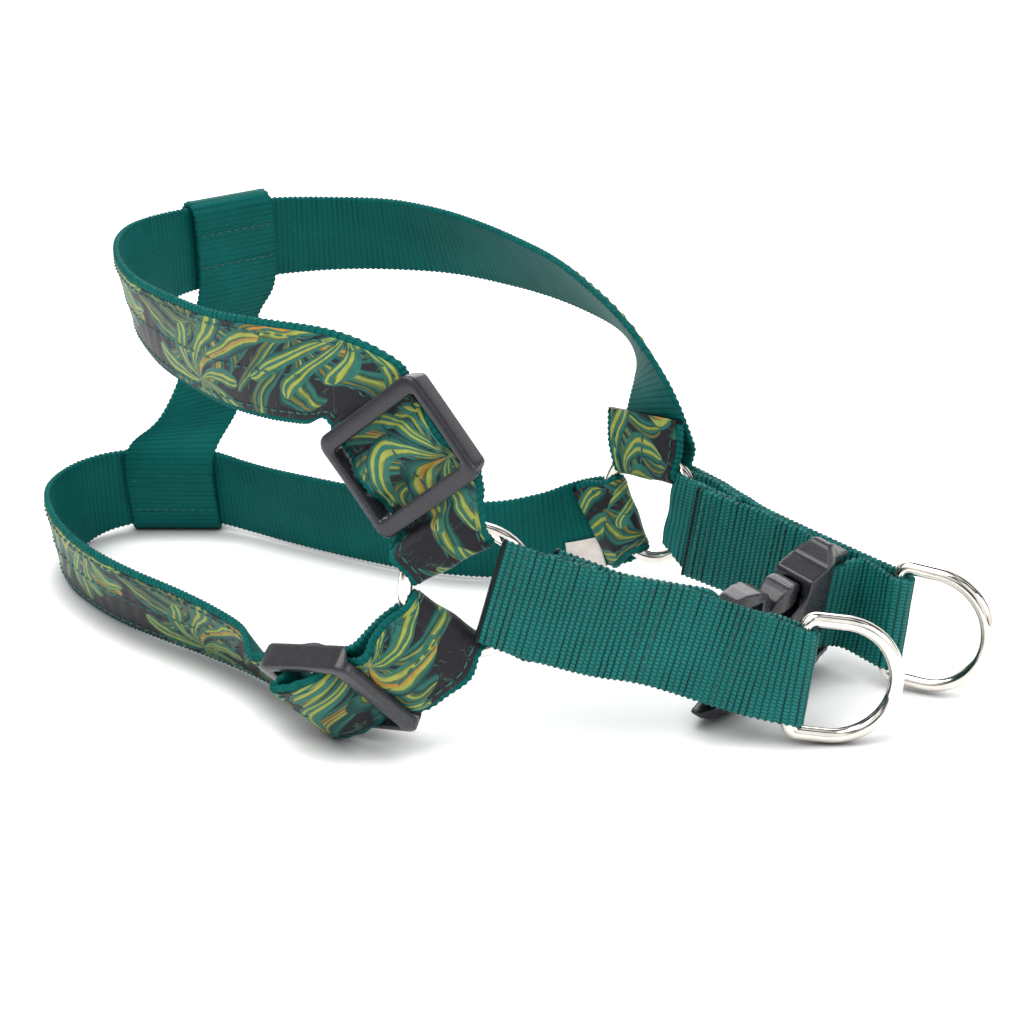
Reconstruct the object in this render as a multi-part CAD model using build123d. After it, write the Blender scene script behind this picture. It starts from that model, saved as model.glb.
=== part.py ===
from build123d import *
from math import cos, pi, sin
import os

# Step-in dog harness, 25 mm webbing, millimetres, +Z up, lying on its strap edges.
# The shape is laid out in a working frame and moved so that the centre of the
# footprint is the origin. Every strap is a list of hand-placed rows:
# centre x, y, z, then the direction of the strap's width, then its width there.

FOOTPRINT_CENTRE = (-5.4, -74.5)

# webbing
WEB_WIDTH = 25.0
WEB_THICK = 1.5
PRINT_THICK = 0.4
LAYER_GAP = 0.1
RIBBON_INSET = 1.5
FOLD_WIDTH = 13.0
LEG_WIDTH = 18.0
JOINT_GAP = 0.5
STITCH_THICK = 0.3
STITCH_WIDTH = 0.9
STITCH_LIFT = WEB_THICK / 2 + STITCH_THICK / 2 + 0.05
STITCHES_PER_ROW = 8
STITCH_PITCH = 2.6
STITCH_LENGTH = 2.0
TAB_STITCH_COLUMNS = [(7.0, 5.55), (9.5, 5.45), (42.0, 1.05), (63.0, 1.15)]
CHEST_STITCH_ROWS = (-4.0, 6.0)
LABEL_LENGTH = 9.0
LABEL_HEIGHT = 9.0
LABEL_THICK = 0.4

# O-rings
O_RING_MID_R = 14.6
O_RING_WIRE_R = 1.875
FOLD_REACH = 10.9
FOLD_HALF_GAP = 2.1
LEG_REACH = 16.0

# the inner run behind a slider: distance down the strap, and depth behind it
INNER_START = (3.5, 2.6)
INNER_MIDDLE = (11.0, 3.4)

# D-rings: half height, depth and corner radius of the wire's centre line
D_HALF_H = 14.3
D_DEPTH = 23.5
D_CORNER_R = 2.5
D_WIRE_R = 1.8
D_FOLD_R = 2.8

# sliders
SLIDER_LENGTH = 28.0
SLIDER_WIDTH = 31.0
SLIDER_SLOT = 26.0
SLIDER_BAR = 4.3
SLIDER_MID_BAR = 4.0
SLIDER_FRAME_LOW = 1.6
SLIDER_FRAME_HIGH = 3.6
SLIDER_MID_LOW = -3.1
SLIDER_MID_HIGH = -1.1
SLIDER_EAR = 5.0

# lead tabs: distance from the ring's centre, and height over the tab's middle plane
TAB_LIFT = 3.2
TAB_LIFT_END = 45.0
TAB_OUTER_END = [(5.0, 5.6), (10.0, 5.4), (18.0, 4.7)]
TAB_INNER_END = [(17.0, 4.6)]
TAB_BODY = [(22.5, 3.5), (27.5, 2.7), (34.0, 1.2)]
TAB_MIDDLE = (46.0, 0.95)
TAB_D_LEAD = (13.0, 1.2)
TAB_WRAP_LEAD = 11.0
TAB_WRAP_RETURN = 9.0
LOOP_TAILS = [(27.0, 0.95), (22.5, 1.7)]

# buckle, measured along its axis from the plug's webbing bar
BUCKLE_BAR_SPAN = 40.0
BUCKLE_BAR_R = 2.0
BUCKLE_SLOT = 26.6
BAR_SINK = 2.0
PLUG_THICK = 5.0
PLUG_EAR_START = -8.0
PLUG_SLOT_END = 7.2
PLUG_BASE_END = 12.0
PLUG_WING = [(-8.0, 14.2), (-6.5, 15.6), (-2.0, 16.9), (2.0, 17.1), (6.0, 16.3), (9.4, 14.6),
             (PLUG_BASE_END, 11.4)]
TONGUE_WIDTH = 4.0
TONGUE_THICK = 3.0
TONGUE_END = 30.0
SOCKET_MOUTH = 18.5
SOCKET_SHOULDER = 35.0
SOCKET_END = 42.0
SOCKET_WIDTH = 32.4
SOCKET_THICK = 11.0
SOCKET_EDGE_R = 1.5
SOCKET_FLOOR = 31.5
SOCKET_SLOT_START = 34.8
SOCKET_CAVITY_W = 26.0
SOCKET_CAVITY_T = 5.6
SCOOP_X = 16.6
SCOOP_Z = 12.2
SCOOP_R = 6.6
WALL_START = 23.2
CATCH_START = 24.6
CATCH_GAP = 11.8
SOCKET_WING = [(SOCKET_SHOULDER - 2.0, 15.0), (SOCKET_SHOULDER - 1.0, 17.6), (36.4, 18.4),
               (39.0, 18.2), (41.2, 17.2), (SOCKET_END, 15.6)]
ARM_TIP = 30.4
ARM_ROOT_Z = 7.0
ARM_ROOT_GAP = 0.6
ARM_ROOT_X = PLUG_BASE_END + ARM_ROOT_GAP
ARM_DEPTH = 4.4
ARM_OUTLINE = [(ARM_ROOT_X, 5.6), (16.0, 6.9), (22.0, 7.4), (28.0, 6.4), (ARM_TIP, 7.6),
               (ARM_TIP, 10.2), (28.4, 11.8), (26.4, 12.4), (25.4, 11.2), (22.6, 11.2),
               (21.7, 14.4), (19.8, 15.9), (17.0, 15.6), (14.6, 13.6), (13.2, 10.8),
               (ARM_ROOT_X, 8.4)]

# layout of the two lead tabs, their rings and the buckle
NEAR_RING = Vector(-9.8, -146.0, 39.7)
NEAR_D_BAR = Vector(66.4, -145.0, 17.6)
FAR_RING = Vector(37.0, -61.0, 27.0)
FAR_D_BAR = Vector(93.6, -113.8, 17.4)
NEAR_TAB_UP = Vector(0.28, 0.14, 0.95)
FAR_TAB_UP = Vector(0.09, 0.02, 0.99)
NEAR_D_UP = Vector(0.13, 0.06, 0.985)
NEAR_D_OUT = Vector(0.99, 0.02, -0.13)
FAR_D_UP = Vector(0.10, 0.05, 0.99)
FAR_D_OUT = Vector(0.90, -0.42, -0.08)
PLUG_BAR = Vector(50.3, -135.0, 18.4)
BUCKLE_AXIS = Vector(0.69, 0.72, 0.04)
BUCKLE_UP = Vector(0.11, -0.14, 0.98)
NECK_FOLD_ANGLE = 134.0
GIRTH_FOLD_ANGLE = 250.0
FAR_NECK_FOLD_ANGLE = 102.0
FAR_GIRTH_FOLD_ANGLE = 219.0
NECK_TAIL = 9.0
GIRTH_TAIL = 7.0

# strap routes, from the slider round the back to the far ring
NECK_SLIDER = Vector(-24.2, -141.0, 71.3)
NECK_SLIDER_RUN = Vector(-0.57, 0.31, 0.76)
NECK_SLIDER_UP = Vector(0.71, -0.28, 0.64)
GIRTH_SLIDER = Vector(-39.0, -147.5, 16.9)
GIRTH_SLIDER_RUN = Vector(-0.78, 0.58, -0.24)
GIRTH_SLIDER_UP = Vector(-0.54, -0.42, 0.73)
NECK_STRAIGHT = (0.0, 8.0, 13.0, 17.5)
GIRTH_STRAIGHT = (0.0, 8.0, 13.0, 17.5, 20.5)

NECK_ROUTE = [
    (-44.5, -129.5, 85.5, 0.30, -0.12, 0.95),
    (-56.5, -122.3, 85.0, 0.05, -0.10, 1.00),
    (-68.0, -112.0, 84.0, -0.10, -0.12, 0.99),
    (-79.0, -99.0, 84.0, -0.16, -0.14, 0.98),
    (-88.5, -84.5, 84.0, -0.22, -0.13, 0.97),
    (-94.5, -71.0, 84.0, -0.24, -0.10, 0.97),
    (-98.5, -57.0, 83.6, -0.22, -0.04, 0.97),
    (-100.5, -42.5, 83.5, -0.17, 0.00, 0.99),
    (-98.5, -28.5, 83.2, -0.10, -0.02, 1.00),
    (-90.0, -13.7, 83.0, 0.02, -0.16, 0.98),
    (-79.0, -3.7, 82.5, 0.02, -0.22, 0.97),
    (-67.0, 4.6, 82.2, 0.03, -0.27, 0.96),
    (-50.0, 9.5, 81.7, 0.00, -0.36, 0.93),
    (-33.5, 9.0, 81.5, -0.09, -0.39, 0.92),
    (-18.5, 3.0, 81.2, -0.20, -0.45, 0.87),
    (-5.5, -7.0, 80.6, -0.32, -0.46, 0.83),
    (6.0, -18.0, 79.6, -0.40, -0.48, 0.78),
    (16.5, -30.0, 78.0, -0.46, -0.48, 0.75),
    (25.0, -41.5, 75.0, -0.42, -0.60, 0.68),
    (31.5, -50.5, 69.5, -0.20, -0.75, 0.60),
    (35.0, -56.0, 62.0, 0.15, -0.86, 0.46),
]
NECK_FAR_ROUTE = [
    (36.6, -58.9, 55.6, 0.40, -0.82, 0.33),
]
GIRTH_ROUTE = [
    (-60.0, -124.5, 11.8, -0.38, -0.36, 0.85),
    (-69.5, -113.5, 11.9, -0.31, -0.36, 0.88),
    (-80.5, -103.5, 12.1, -0.25, -0.36, 0.89),
    (-93.0, -93.5, 12.4, -0.25, -0.32, 0.91),
    (-104.5, -82.5, 12.5, -0.26, -0.24, 0.94),
    (-114.0, -70.0, 12.6, -0.24, -0.16, 0.95),
    (-121.5, -56.0, 12.7, -0.18, -0.08, 0.98),
    (-125.0, -42.0, 12.8, -0.13, -0.02, 0.99),
    (-123.0, -29.0, 12.8, -0.06, -0.02, 1.00),
    (-117.0, -20.3, 13.6, 0.00, -0.14, 0.99),
    (-108.0, -15.9, 14.3, 0.00, -0.22, 0.97),
    (-96.5, -14.6, 14.6, 0.00, -0.25, 0.967),
    (-85.0, -16.3, 14.3, -0.02, -0.25, 0.965),
    (-74.0, -22.0, 13.4, -0.10, -0.25, 0.96),
    (-65.5, -27.3, 13.1, -0.12, -0.24, 0.96),
    (-56.5, -32.5, 13.0, -0.13, -0.22, 0.97),
    (-43.5, -40.0, 13.1, -0.12, -0.21, 0.97),
    (-30.0, -47.0, 13.1, -0.10, -0.24, 0.97),
    (-16.0, -51.5, 13.1, -0.08, -0.25, 0.95),
    (-3.0, -52.8, 13.3, -0.06, -0.22, 0.96),
    (8.0, -51.6, 14.5, -0.08, -0.16, 0.97),
]
GIRTH_FAR_ROUTE = [
    (14.5, -50.3, 15.6, -0.14, -0.08, 0.97),
]
# the chest strap hangs between the two loops and folds round each of them
CHEST_TOP = Vector(-79.0, -3.7, 82.5)
CHEST_TOP_UP = Vector(0.02, -0.22, 0.97)
CHEST_TOP_RUN = Vector(0.78, 0.62, 0.0)
CHEST_FOOT = Vector(-96.5, -14.6, 14.6)
CHEST_FOOT_UP = Vector(0.0, -0.25, 0.967)
CHEST_FOOT_RUN = Vector(1.0, 0.0, 0.0)
CHEST_ROUTE = [
    (-81.5, -5.0, 60.0, 0.72, 0.69, 0.0),
    (-84.0, -8.5, 48.0, 0.70, 0.71, 0.0),
    (-88.5, -13.5, 36.0, 0.85, 0.52, 0.0),
]
CHEST_INNER = -3.2
CHEST_OUTER = 2.6
CHEST_EDGE = 11.2
CHEST_TAIL = 18.0
CHEST_LEAD = 12.0
LABEL_AT = Vector(22.6, -50.9, 9.6)
LABEL_RUN = Vector(1.0, 0.06, 0.16)
LABEL_OUT = Vector(0.05, -0.99, -0.09)
STRAP_STEPS = 3


def unit(v):
    return v.normalized()


def smooth(rows, steps=STRAP_STEPS):
    """Stations (centre, up, width) on a Catmull-Rom curve through the rows."""
    stations = []
    last = len(rows) - 1
    for i in range(last):
        four = [rows[max(i - 1, 0)], rows[i], rows[i + 1], rows[min(i + 2, last)]]
        for k in range(steps):
            stations.append(blend(four, k / steps))
    stations.append(blend([rows[last]] * 4, 0.0))
    return stations


def blend(four, t):
    weights = (
        -0.5 * t + t * t - 0.5 * t**3,
        1.0 - 2.5 * t * t + 1.5 * t**3,
        0.5 * t + 2.0 * t * t - 1.5 * t**3,
        -0.5 * t * t + 0.5 * t**3,
    )
    mixed = [sum(w * row[j] for w, row in zip(weights, four)) for j in range(7)]
    return (Vector(*mixed[:3]), unit(Vector(*mixed[3:6])), mixed[6])


def full_width(rows):
    return [tuple(row) + (WEB_WIDTH,) for row in rows]


def row(point, up, width=WEB_WIDTH):
    return (point.X, point.Y, point.Z, up.X, up.Y, up.Z, width)


def ribbon(stations, thick=WEB_THICK, offset=0.0, inset=0.0):
    """A closed strip of rectangular sections, offset towards its outer face."""
    sections = []
    count = len(stations)
    for i, (centre, up, width) in enumerate(stations):
        run = stations[min(i + 1, count - 1)][0] - stations[max(i - 1, 0)][0]
        out = unit(up.cross(unit(run)))
        half = up * (width / 2 - inset)
        low = out * (offset - thick / 2)
        high = out * (offset + thick / 2)
        corners = [centre + low - half, centre + low + half,
                   centre + high + half, centre + high - half]
        sections.append(Wire.make_polygon(corners, close=True))
    return Solid.make_loft(sections, ruled=True)


def print_ribbon(stations):
    offset = WEB_THICK / 2 + LAYER_GAP / 2 + PRINT_THICK / 2
    return ribbon(stations, PRINT_THICK, offset, RIBBON_INSET)


def arc_turn(centre, towards, side, up, radius, width, steps=8):
    """Half a turn from +side to -side, bulging away from `towards`."""
    stations = []
    for k in range(steps + 1):
        a = pi * k / steps
        point = centre + side * (radius * cos(a)) - towards * (radius * sin(a))
        stations.append((point, up, width))
    return stations


def ring_axes(ring, tab_end, tab_up, sense):
    """In-plane axes of an O-ring: along its tab, across it, and its normal."""
    along = unit(tab_end - ring)
    across = unit(tab_up - along * tab_up.dot(along))
    return along, across, unit(across.cross(along)) * sense


NEAR_AXES = ring_axes(NEAR_RING, NEAR_D_BAR, NEAR_TAB_UP, -1)
FAR_AXES = ring_axes(FAR_RING, FAR_D_BAR, FAR_TAB_UP, 1)


def radial(axes, angle):
    a = angle * pi / 180
    return axes[0] * cos(a) + axes[1] * sin(a)


def ring_fold(ring, axes, angle, first_side, turn_sense):
    """Stations of a strap that passes through an O-ring and doubles back."""
    away = radial(axes, angle)
    side = axes[2] * first_side
    up = radial(axes, angle + 90 * turn_sense)
    h = FOLD_HALF_GAP + WEB_THICK / 2
    leg_in = (ring + away * LEG_REACH + side * h, up, LEG_WIDTH)
    leg_out = (ring + away * LEG_REACH - side * h, up, LEG_WIDTH)
    turn = arc_turn(ring + away * FOLD_REACH, away, side, up, h, FOLD_WIDTH)
    return [leg_in] + turn + [leg_out]


def as_rows(stations):
    return [row(c, u, w) for c, u, w in stations]


def doubled_near_run(ring, axes, angle, slider, run, slider_up, turn_sense):
    """Inner run from the slider to the near ring, the fold, and the outer run back."""
    fold = ring_fold(ring, axes, angle, -1, turn_sense)
    out = unit(slider_up.cross(run))
    inner_start = slider - run * INNER_START[0] - out * INNER_START[1]
    inner_mid = slider - run * INNER_MIDDLE[0] - out * INNER_MIDDLE[1]
    inner = smooth([row(inner_start, slider_up), row(inner_mid, slider_up),
                    row(*fold[0])])
    start = slider - run * (SLIDER_LENGTH / 2 + JOINT_GAP)
    outer = smooth([row(*fold[-1]), row(start, slider_up)], 2)
    return inner[:-1] + fold + outer[1:]


def strap_stations(near_run, slider, run, slider_up, straight_places, route):
    straight = [row(slider + run * s, slider_up) for s in straight_places]
    return near_run + smooth(straight + full_width(route))


def far_fold(route, joint, ring, axes, angle, turn_sense, tail):
    """The sewn far end: run in, fold through the far ring, and a short tail."""
    fold = ring_fold(ring, axes, angle, 1, turn_sense)
    lead = smooth(full_width([joint] + route) + [row(*fold[0])], 6)
    return lead[:-1] + fold + tail


def neck_stations():
    near = doubled_near_run(NEAR_RING, NEAR_AXES, NECK_FOLD_ANGLE, NECK_SLIDER,
                            unit(NECK_SLIDER_RUN), unit(NECK_SLIDER_UP), -1)
    return strap_stations(near, NECK_SLIDER, unit(NECK_SLIDER_RUN),
                          unit(NECK_SLIDER_UP), NECK_STRAIGHT, NECK_ROUTE)


def girth_stations():
    near = doubled_near_run(NEAR_RING, NEAR_AXES, GIRTH_FOLD_ANGLE, GIRTH_SLIDER,
                            unit(GIRTH_SLIDER_RUN), unit(GIRTH_SLIDER_UP), -1)
    return strap_stations(near, GIRTH_SLIDER, unit(GIRTH_SLIDER_RUN),
                          unit(GIRTH_SLIDER_UP), GIRTH_STRAIGHT, GIRTH_ROUTE)


def far_tail(ring, axes, angle, turn_sense, length):
    """A short sewn tail that lies back against the strap's inner face."""
    away = radial(axes, angle)
    up = radial(axes, angle + 90 * turn_sense)
    h = FOLD_HALF_GAP + WEB_THICK / 2
    end = ring + away * (LEG_REACH + length) - axes[2] * (h - LAYER_GAP)
    return [(end, up, WEB_WIDTH)]


def step_off(first, second, gap):
    """The first row moved towards the second by a small gap."""
    a = Vector(*first[:3])
    b = Vector(*second[:3])
    moved = a + unit(b - a) * gap
    return (moved.X, moved.Y, moved.Z) + tuple(first[3:6])


def neck_far_stations():
    joint = step_off(NECK_ROUTE[-1], NECK_FAR_ROUTE[0], JOINT_GAP)
    tail = far_tail(FAR_RING, FAR_AXES, FAR_NECK_FOLD_ANGLE, -1, NECK_TAIL)
    return far_fold(NECK_FAR_ROUTE, joint, FAR_RING, FAR_AXES,
                    FAR_NECK_FOLD_ANGLE, -1, tail)


def girth_far_stations():
    joint = step_off(GIRTH_ROUTE[-1], GIRTH_FAR_ROUTE[0], JOINT_GAP)
    tail = far_tail(FAR_RING, FAR_AXES, FAR_GIRTH_FOLD_ANGLE, -1, GIRTH_TAIL)
    return far_fold(GIRTH_FAR_ROUTE, joint, FAR_RING, FAR_AXES,
                    FAR_GIRTH_FOLD_ANGLE, -1, tail)


def edge_wrap(point, up, run, edge_k, sense):
    """Stations that fold the chest strap round one edge of a loop strap."""
    u = unit(up)
    t = unit(run)
    out = unit(u.cross(t))
    middle = (CHEST_INNER + CHEST_OUTER) / 2
    radius = (CHEST_OUTER - CHEST_INNER) / 2
    outer_end = (point + out * CHEST_OUTER + u * (edge_k - sense * CHEST_TAIL), t, WEB_WIDTH)
    turn = arc_turn(point + out * middle + u * edge_k, u * -sense, out, t, radius, WEB_WIDTH)
    return [outer_end] + turn


def chest_stations():
    top = edge_wrap(CHEST_TOP, CHEST_TOP_UP, CHEST_TOP_RUN, CHEST_EDGE, 1)
    foot = edge_wrap(CHEST_FOOT, CHEST_FOOT_UP, CHEST_FOOT_RUN, -CHEST_EDGE, -1)
    foot.reverse()
    top_out = unit(CHEST_TOP_UP.cross(CHEST_TOP_RUN))
    foot_out = unit(CHEST_FOOT_UP.cross(CHEST_FOOT_RUN))
    below_neck = CHEST_TOP + top_out * CHEST_INNER - unit(CHEST_TOP_UP) * CHEST_LEAD
    above_girth = CHEST_FOOT + foot_out * CHEST_INNER + unit(CHEST_FOOT_UP) * CHEST_LEAD
    rows = [row(*top[-1]), row(below_neck, unit(CHEST_TOP_RUN))]
    rows += full_width(CHEST_ROUTE)
    rows += [row(above_girth, unit(CHEST_FOOT_RUN)), row(*foot[0])]
    return top[:-1] + smooth(rows) + foot[1:]


def tab_point(ring, axes, s, h):
    return ring + axes[0] * s + axes[1] * tab_lift(ring, s) + axes[2] * h


def tab_lift(ring, s):
    """The near tab's sewn end stands a little higher than the line to its D-ring."""
    if ring is FAR_RING:
        return 0.0
    return TAB_LIFT * max(0.0, 1.0 - s / TAB_LIFT_END) ** 2


def ring_loop(ring, axes):
    """Short webbing loop through the O-ring, its tails sewn into the tab."""
    fold = ring_fold(ring, axes, 0.0, 1, 1)
    up = axes[1]
    first = [row(tab_point(ring, axes, s, h), up) for s, h in LOOP_TAILS]
    second = [row(tab_point(ring, axes, s, -h), up) for s, h in LOOP_TAILS]
    tail = smooth(first + [row(*fold[0])])
    other = smooth(second + [row(*fold[-1])])
    other.reverse()
    return ribbon(tail[:-1] + fold + other[1:])


def bar_wrap(ring, axes, bar, bar_up, slot_dir):
    """Stations of the tab's inner layer where it passes round a buckle bar."""
    away = slot_dir
    side = unit(bar_up.cross(away))
    if side.dot(axes[0]) < 0:
        side = side * -1
    radius = BUCKLE_BAR_R + LAYER_GAP + WEB_THICK / 2
    return arc_turn(bar, away * -1, side, bar_up, radius, WEB_WIDTH - 1.0, 6)


def lead_tab(ring, axes, d_bar, d_up, wrap):
    """One webbing strip: outer layer, fold round the D-ring, inner layer."""
    up = axes[1]
    reach = (d_bar - ring).length
    outer = TAB_OUTER_END + TAB_BODY + [TAB_MIDDLE, (reach - TAB_D_LEAD[0], TAB_D_LEAD[1])]
    rows = [row(tab_point(ring, axes, s, h), up) for s, h in outer]
    turn = arc_turn(d_bar, axes[0] * -1, axes[2], unit(d_up), D_FOLD_R, WEB_WIDTH - 1.2)
    first = smooth(rows + [row(*turn[0])], 2)
    wrap_s = sum((c - ring).dot(axes[0]) for c, u, w in wrap) / len(wrap)
    back = [row(*turn[-1])]
    back_s = min(reach - TAB_WRAP_LEAD, wrap_s + TAB_WRAP_RETURN)
    back += [row(tab_point(ring, axes, back_s, -TAB_D_LEAD[1]), up)]
    back_lead = smooth(back + [row(*wrap[0])], 2)
    left = [row(*wrap[-1])]
    left += [row(tab_point(ring, axes, wrap_s - TAB_WRAP_LEAD, -TAB_D_LEAD[1]), up)]
    if wrap_s - TAB_WRAP_LEAD > TAB_MIDDLE[0]:
        left += [row(tab_point(ring, axes, TAB_MIDDLE[0], -TAB_MIDDLE[1]), up)]
    for s, h in reversed(TAB_INNER_END + TAB_BODY):
        left += [row(tab_point(ring, axes, s, -h), up)]
    tail = smooth(left, 2)
    return ribbon(first[:-1] + turn + back_lead[1:-1] + wrap + tail[1:])


def o_ring(ring, axes):
    plane = Plane(origin=ring, x_dir=axes[0], z_dir=axes[2])
    return plane.location * Torus(O_RING_MID_R, O_RING_WIRE_R)


def d_ring(bar, up, out):
    """A wire D: straight bar on local Z through the origin, bow towards local X."""
    low = D_HALF_H - D_CORNER_R
    bow_x = D_DEPTH - D_HALF_H
    bar_line = Line((0, 0, -low), (0, 0, low))
    c = D_CORNER_R * (1 - cos(pi / 4))
    top_corner = ThreePointArc((0, 0, low), (c, 0, D_HALF_H - c), (D_CORNER_R, 0, D_HALF_H))
    top = Line((D_CORNER_R, 0, D_HALF_H), (bow_x, 0, D_HALF_H))
    bow = ThreePointArc((bow_x, 0, D_HALF_H), (D_DEPTH, 0, 0), (bow_x, 0, -D_HALF_H))
    bottom = Line((bow_x, 0, -D_HALF_H), (D_CORNER_R, 0, -D_HALF_H))
    low_corner = ThreePointArc((D_CORNER_R, 0, -D_HALF_H), (c, 0, -D_HALF_H + c),
                               (0, 0, -low))
    path = Wire([bar_line, top_corner, top, bow, bottom, low_corner])
    section = Plane(origin=(0, 0, 0), z_dir=(0, 0, 1)) * Circle(D_WIRE_R)
    body = sweep(sections=section.face(), path=path)
    plane = Plane(origin=bar, x_dir=ortho(out, up), z_dir=unit(up))
    return plane.location * body


def ortho(v, up):
    u = unit(up)
    return unit(v - u * v.dot(u))


def frame_of(origin, x_dir, up):
    return Plane(origin=origin, x_dir=ortho(x_dir, up), z_dir=unit(up)).location


def slab(x0, x1, y0, y1, z0, z1):
    box = Box(x1 - x0, y1 - y0, z1 - z0)
    return Pos((x0 + x1) / 2, (y0 + y1) / 2, (z0 + z1) / 2) * box


def slider(origin, run, up):
    """Tri-glide: two front bars, side rails, and a middle bar behind the strap."""
    half_l = SLIDER_LENGTH / 2
    half_w = SLIDER_WIDTH / 2
    half_slot = SLIDER_SLOT / 2
    frame = slab(-half_l, half_l, SLIDER_FRAME_LOW, SLIDER_FRAME_HIGH, -half_w, half_w)
    window = half_l - SLIDER_BAR
    frame -= slab(-window, window, 0, 2 * SLIDER_FRAME_HIGH, -half_slot, half_slot)
    frame = fillet(frame.edges().filter_by(Axis.Y), 1.0)
    for side in (-1, 1):
        z_low = min(side * half_slot, side * half_w)
        z_high = max(side * half_slot, side * half_w)
        frame += slab(-SLIDER_EAR, SLIDER_EAR, SLIDER_MID_LOW, SLIDER_FRAME_LOW + 0.5,
                      z_low, z_high)
    half_bar = SLIDER_MID_BAR / 2
    frame += slab(-half_bar, half_bar, SLIDER_MID_LOW, SLIDER_MID_HIGH, -half_w, half_w)
    return frame_of(origin, run, up) * frame


def buckle_frame():
    return frame_of(PLUG_BAR, BUCKLE_AXIS, BUCKLE_UP)


def mirrored(outline):
    """Closes an outline given for z >= 0, from its near end to its far end."""
    return outline + [(x, -z) for x, z in reversed(outline)]


def plate(outline, thick):
    """A flat solid from an (x, z) outline, centred on y = 0."""
    wire = Wire.make_polygon([Vector(x, 0, z) for x, z in outline], close=True)
    return extrude(Face(wire), thick / 2, dir=(0, 1, 0), both=True)


def buckle_plug():
    """Webbing bar, slotted winged base and the central guide tongue."""
    half_t = PLUG_THICK / 2
    half_slot = BUCKLE_SLOT / 2
    base = plate(mirrored(PLUG_WING), PLUG_THICK)
    base -= slab(PLUG_EAR_START, PLUG_SLOT_END, -half_t, half_t, -half_slot, half_slot)
    base += Cylinder(BUCKLE_BAR_R, BUCKLE_SLOT + BAR_SINK)
    base += slab(PLUG_BASE_END - 1.0, TONGUE_END, -TONGUE_THICK / 2, TONGUE_THICK / 2,
                 -TONGUE_WIDTH / 2, TONGUE_WIDTH / 2)
    return buckle_frame() * base


def plug_arm(side):
    """One spring arm: slim root, rounded finger grip and catch."""
    outline = [(x, side * z) for x, z in ARM_OUTLINE]
    return buckle_frame() * plate(outline, ARM_DEPTH)


def buckle_socket():
    """Hollow receiver with scooped plates, closed sides and a webbing bar."""
    half_t = SOCKET_THICK / 2
    cavity_t = SOCKET_CAVITY_T / 2
    half_w = SOCKET_WIDTH / 2
    half_slot = BUCKLE_SLOT / 2
    body = plate(box_outline(SOCKET_MOUTH, SOCKET_SHOULDER, half_w), SOCKET_THICK)
    body = fillet(body.edges(), SOCKET_EDGE_R)
    for side in (-1, 1):
        scoop = Cylinder(SCOOP_R, SOCKET_THICK + 2.0, rotation=(90, 0, 0))
        body -= Pos(SCOOP_X, 0, side * SCOOP_Z) * scoop
    body -= slab(SOCKET_MOUTH, WALL_START, -cavity_t, cavity_t, -half_w, half_w)
    body -= slab(SOCKET_MOUTH, SOCKET_FLOOR, -cavity_t, cavity_t, -CATCH_GAP, CATCH_GAP)
    body -= slab(CATCH_START, SOCKET_FLOOR, -cavity_t, cavity_t, -SOCKET_CAVITY_W / 2,
                 SOCKET_CAVITY_W / 2)
    body += plate(mirrored(SOCKET_WING), PLUG_THICK)
    body -= slab(SOCKET_SLOT_START, SOCKET_END, -half_t, half_t, -half_slot, half_slot)
    body += Pos(BUCKLE_BAR_SPAN, 0, 0) * Cylinder(BUCKLE_BAR_R, BUCKLE_SLOT + BAR_SINK)
    return buckle_frame() * body


def box_outline(x0, x1, half_z):
    return [(x0, half_z), (x1, half_z), (x1, -half_z), (x0, -half_z)]


def stitch_row(origin, along, up, out):
    """Separate short stitches in a line along the strap's width."""
    stitches = []
    for k in range(STITCHES_PER_ROW):
        offset = (k - (STITCHES_PER_ROW - 1) / 2) * STITCH_PITCH
        plane = Plane(origin=origin + up * offset, x_dir=along, z_dir=out)
        stitches.append(plane.location * Box(STITCH_WIDTH, STITCH_LENGTH, STITCH_THICK))
    return stitches


def tab_stitching(ring, axes):
    stitches = []
    for s, h in TAB_STITCH_COLUMNS:
        origin = tab_point(ring, axes, s, h + STITCH_LIFT)
        stitches += stitch_row(origin, axes[0], axes[1], axes[2])
    return Compound(children=stitches)


def chest_stitching(point, up, run, sense):
    u = unit(up)
    t = unit(run)
    out = unit(u.cross(t))
    stitches = []
    for k in CHEST_STITCH_ROWS:
        origin = point + out * (CHEST_OUTER + STITCH_LIFT) + u * (k * sense)
        stitches += stitch_row(origin, u, t, out)
    return Compound(children=stitches)


def care_label():
    """Blank sewn label on the inner face of the girth strap's far end."""
    plane = Plane(origin=LABEL_AT, x_dir=LABEL_RUN, z_dir=LABEL_OUT)
    return plane.location * Box(LABEL_LENGTH, LABEL_HEIGHT, LABEL_THICK)


def write(name, shape):
    shift = Location((-FOOTPRINT_CENTRE[0], -FOOTPRINT_CENTRE[1], 0))
    export_step(shape.moved(shift), f"parts/{name}.step")


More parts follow.
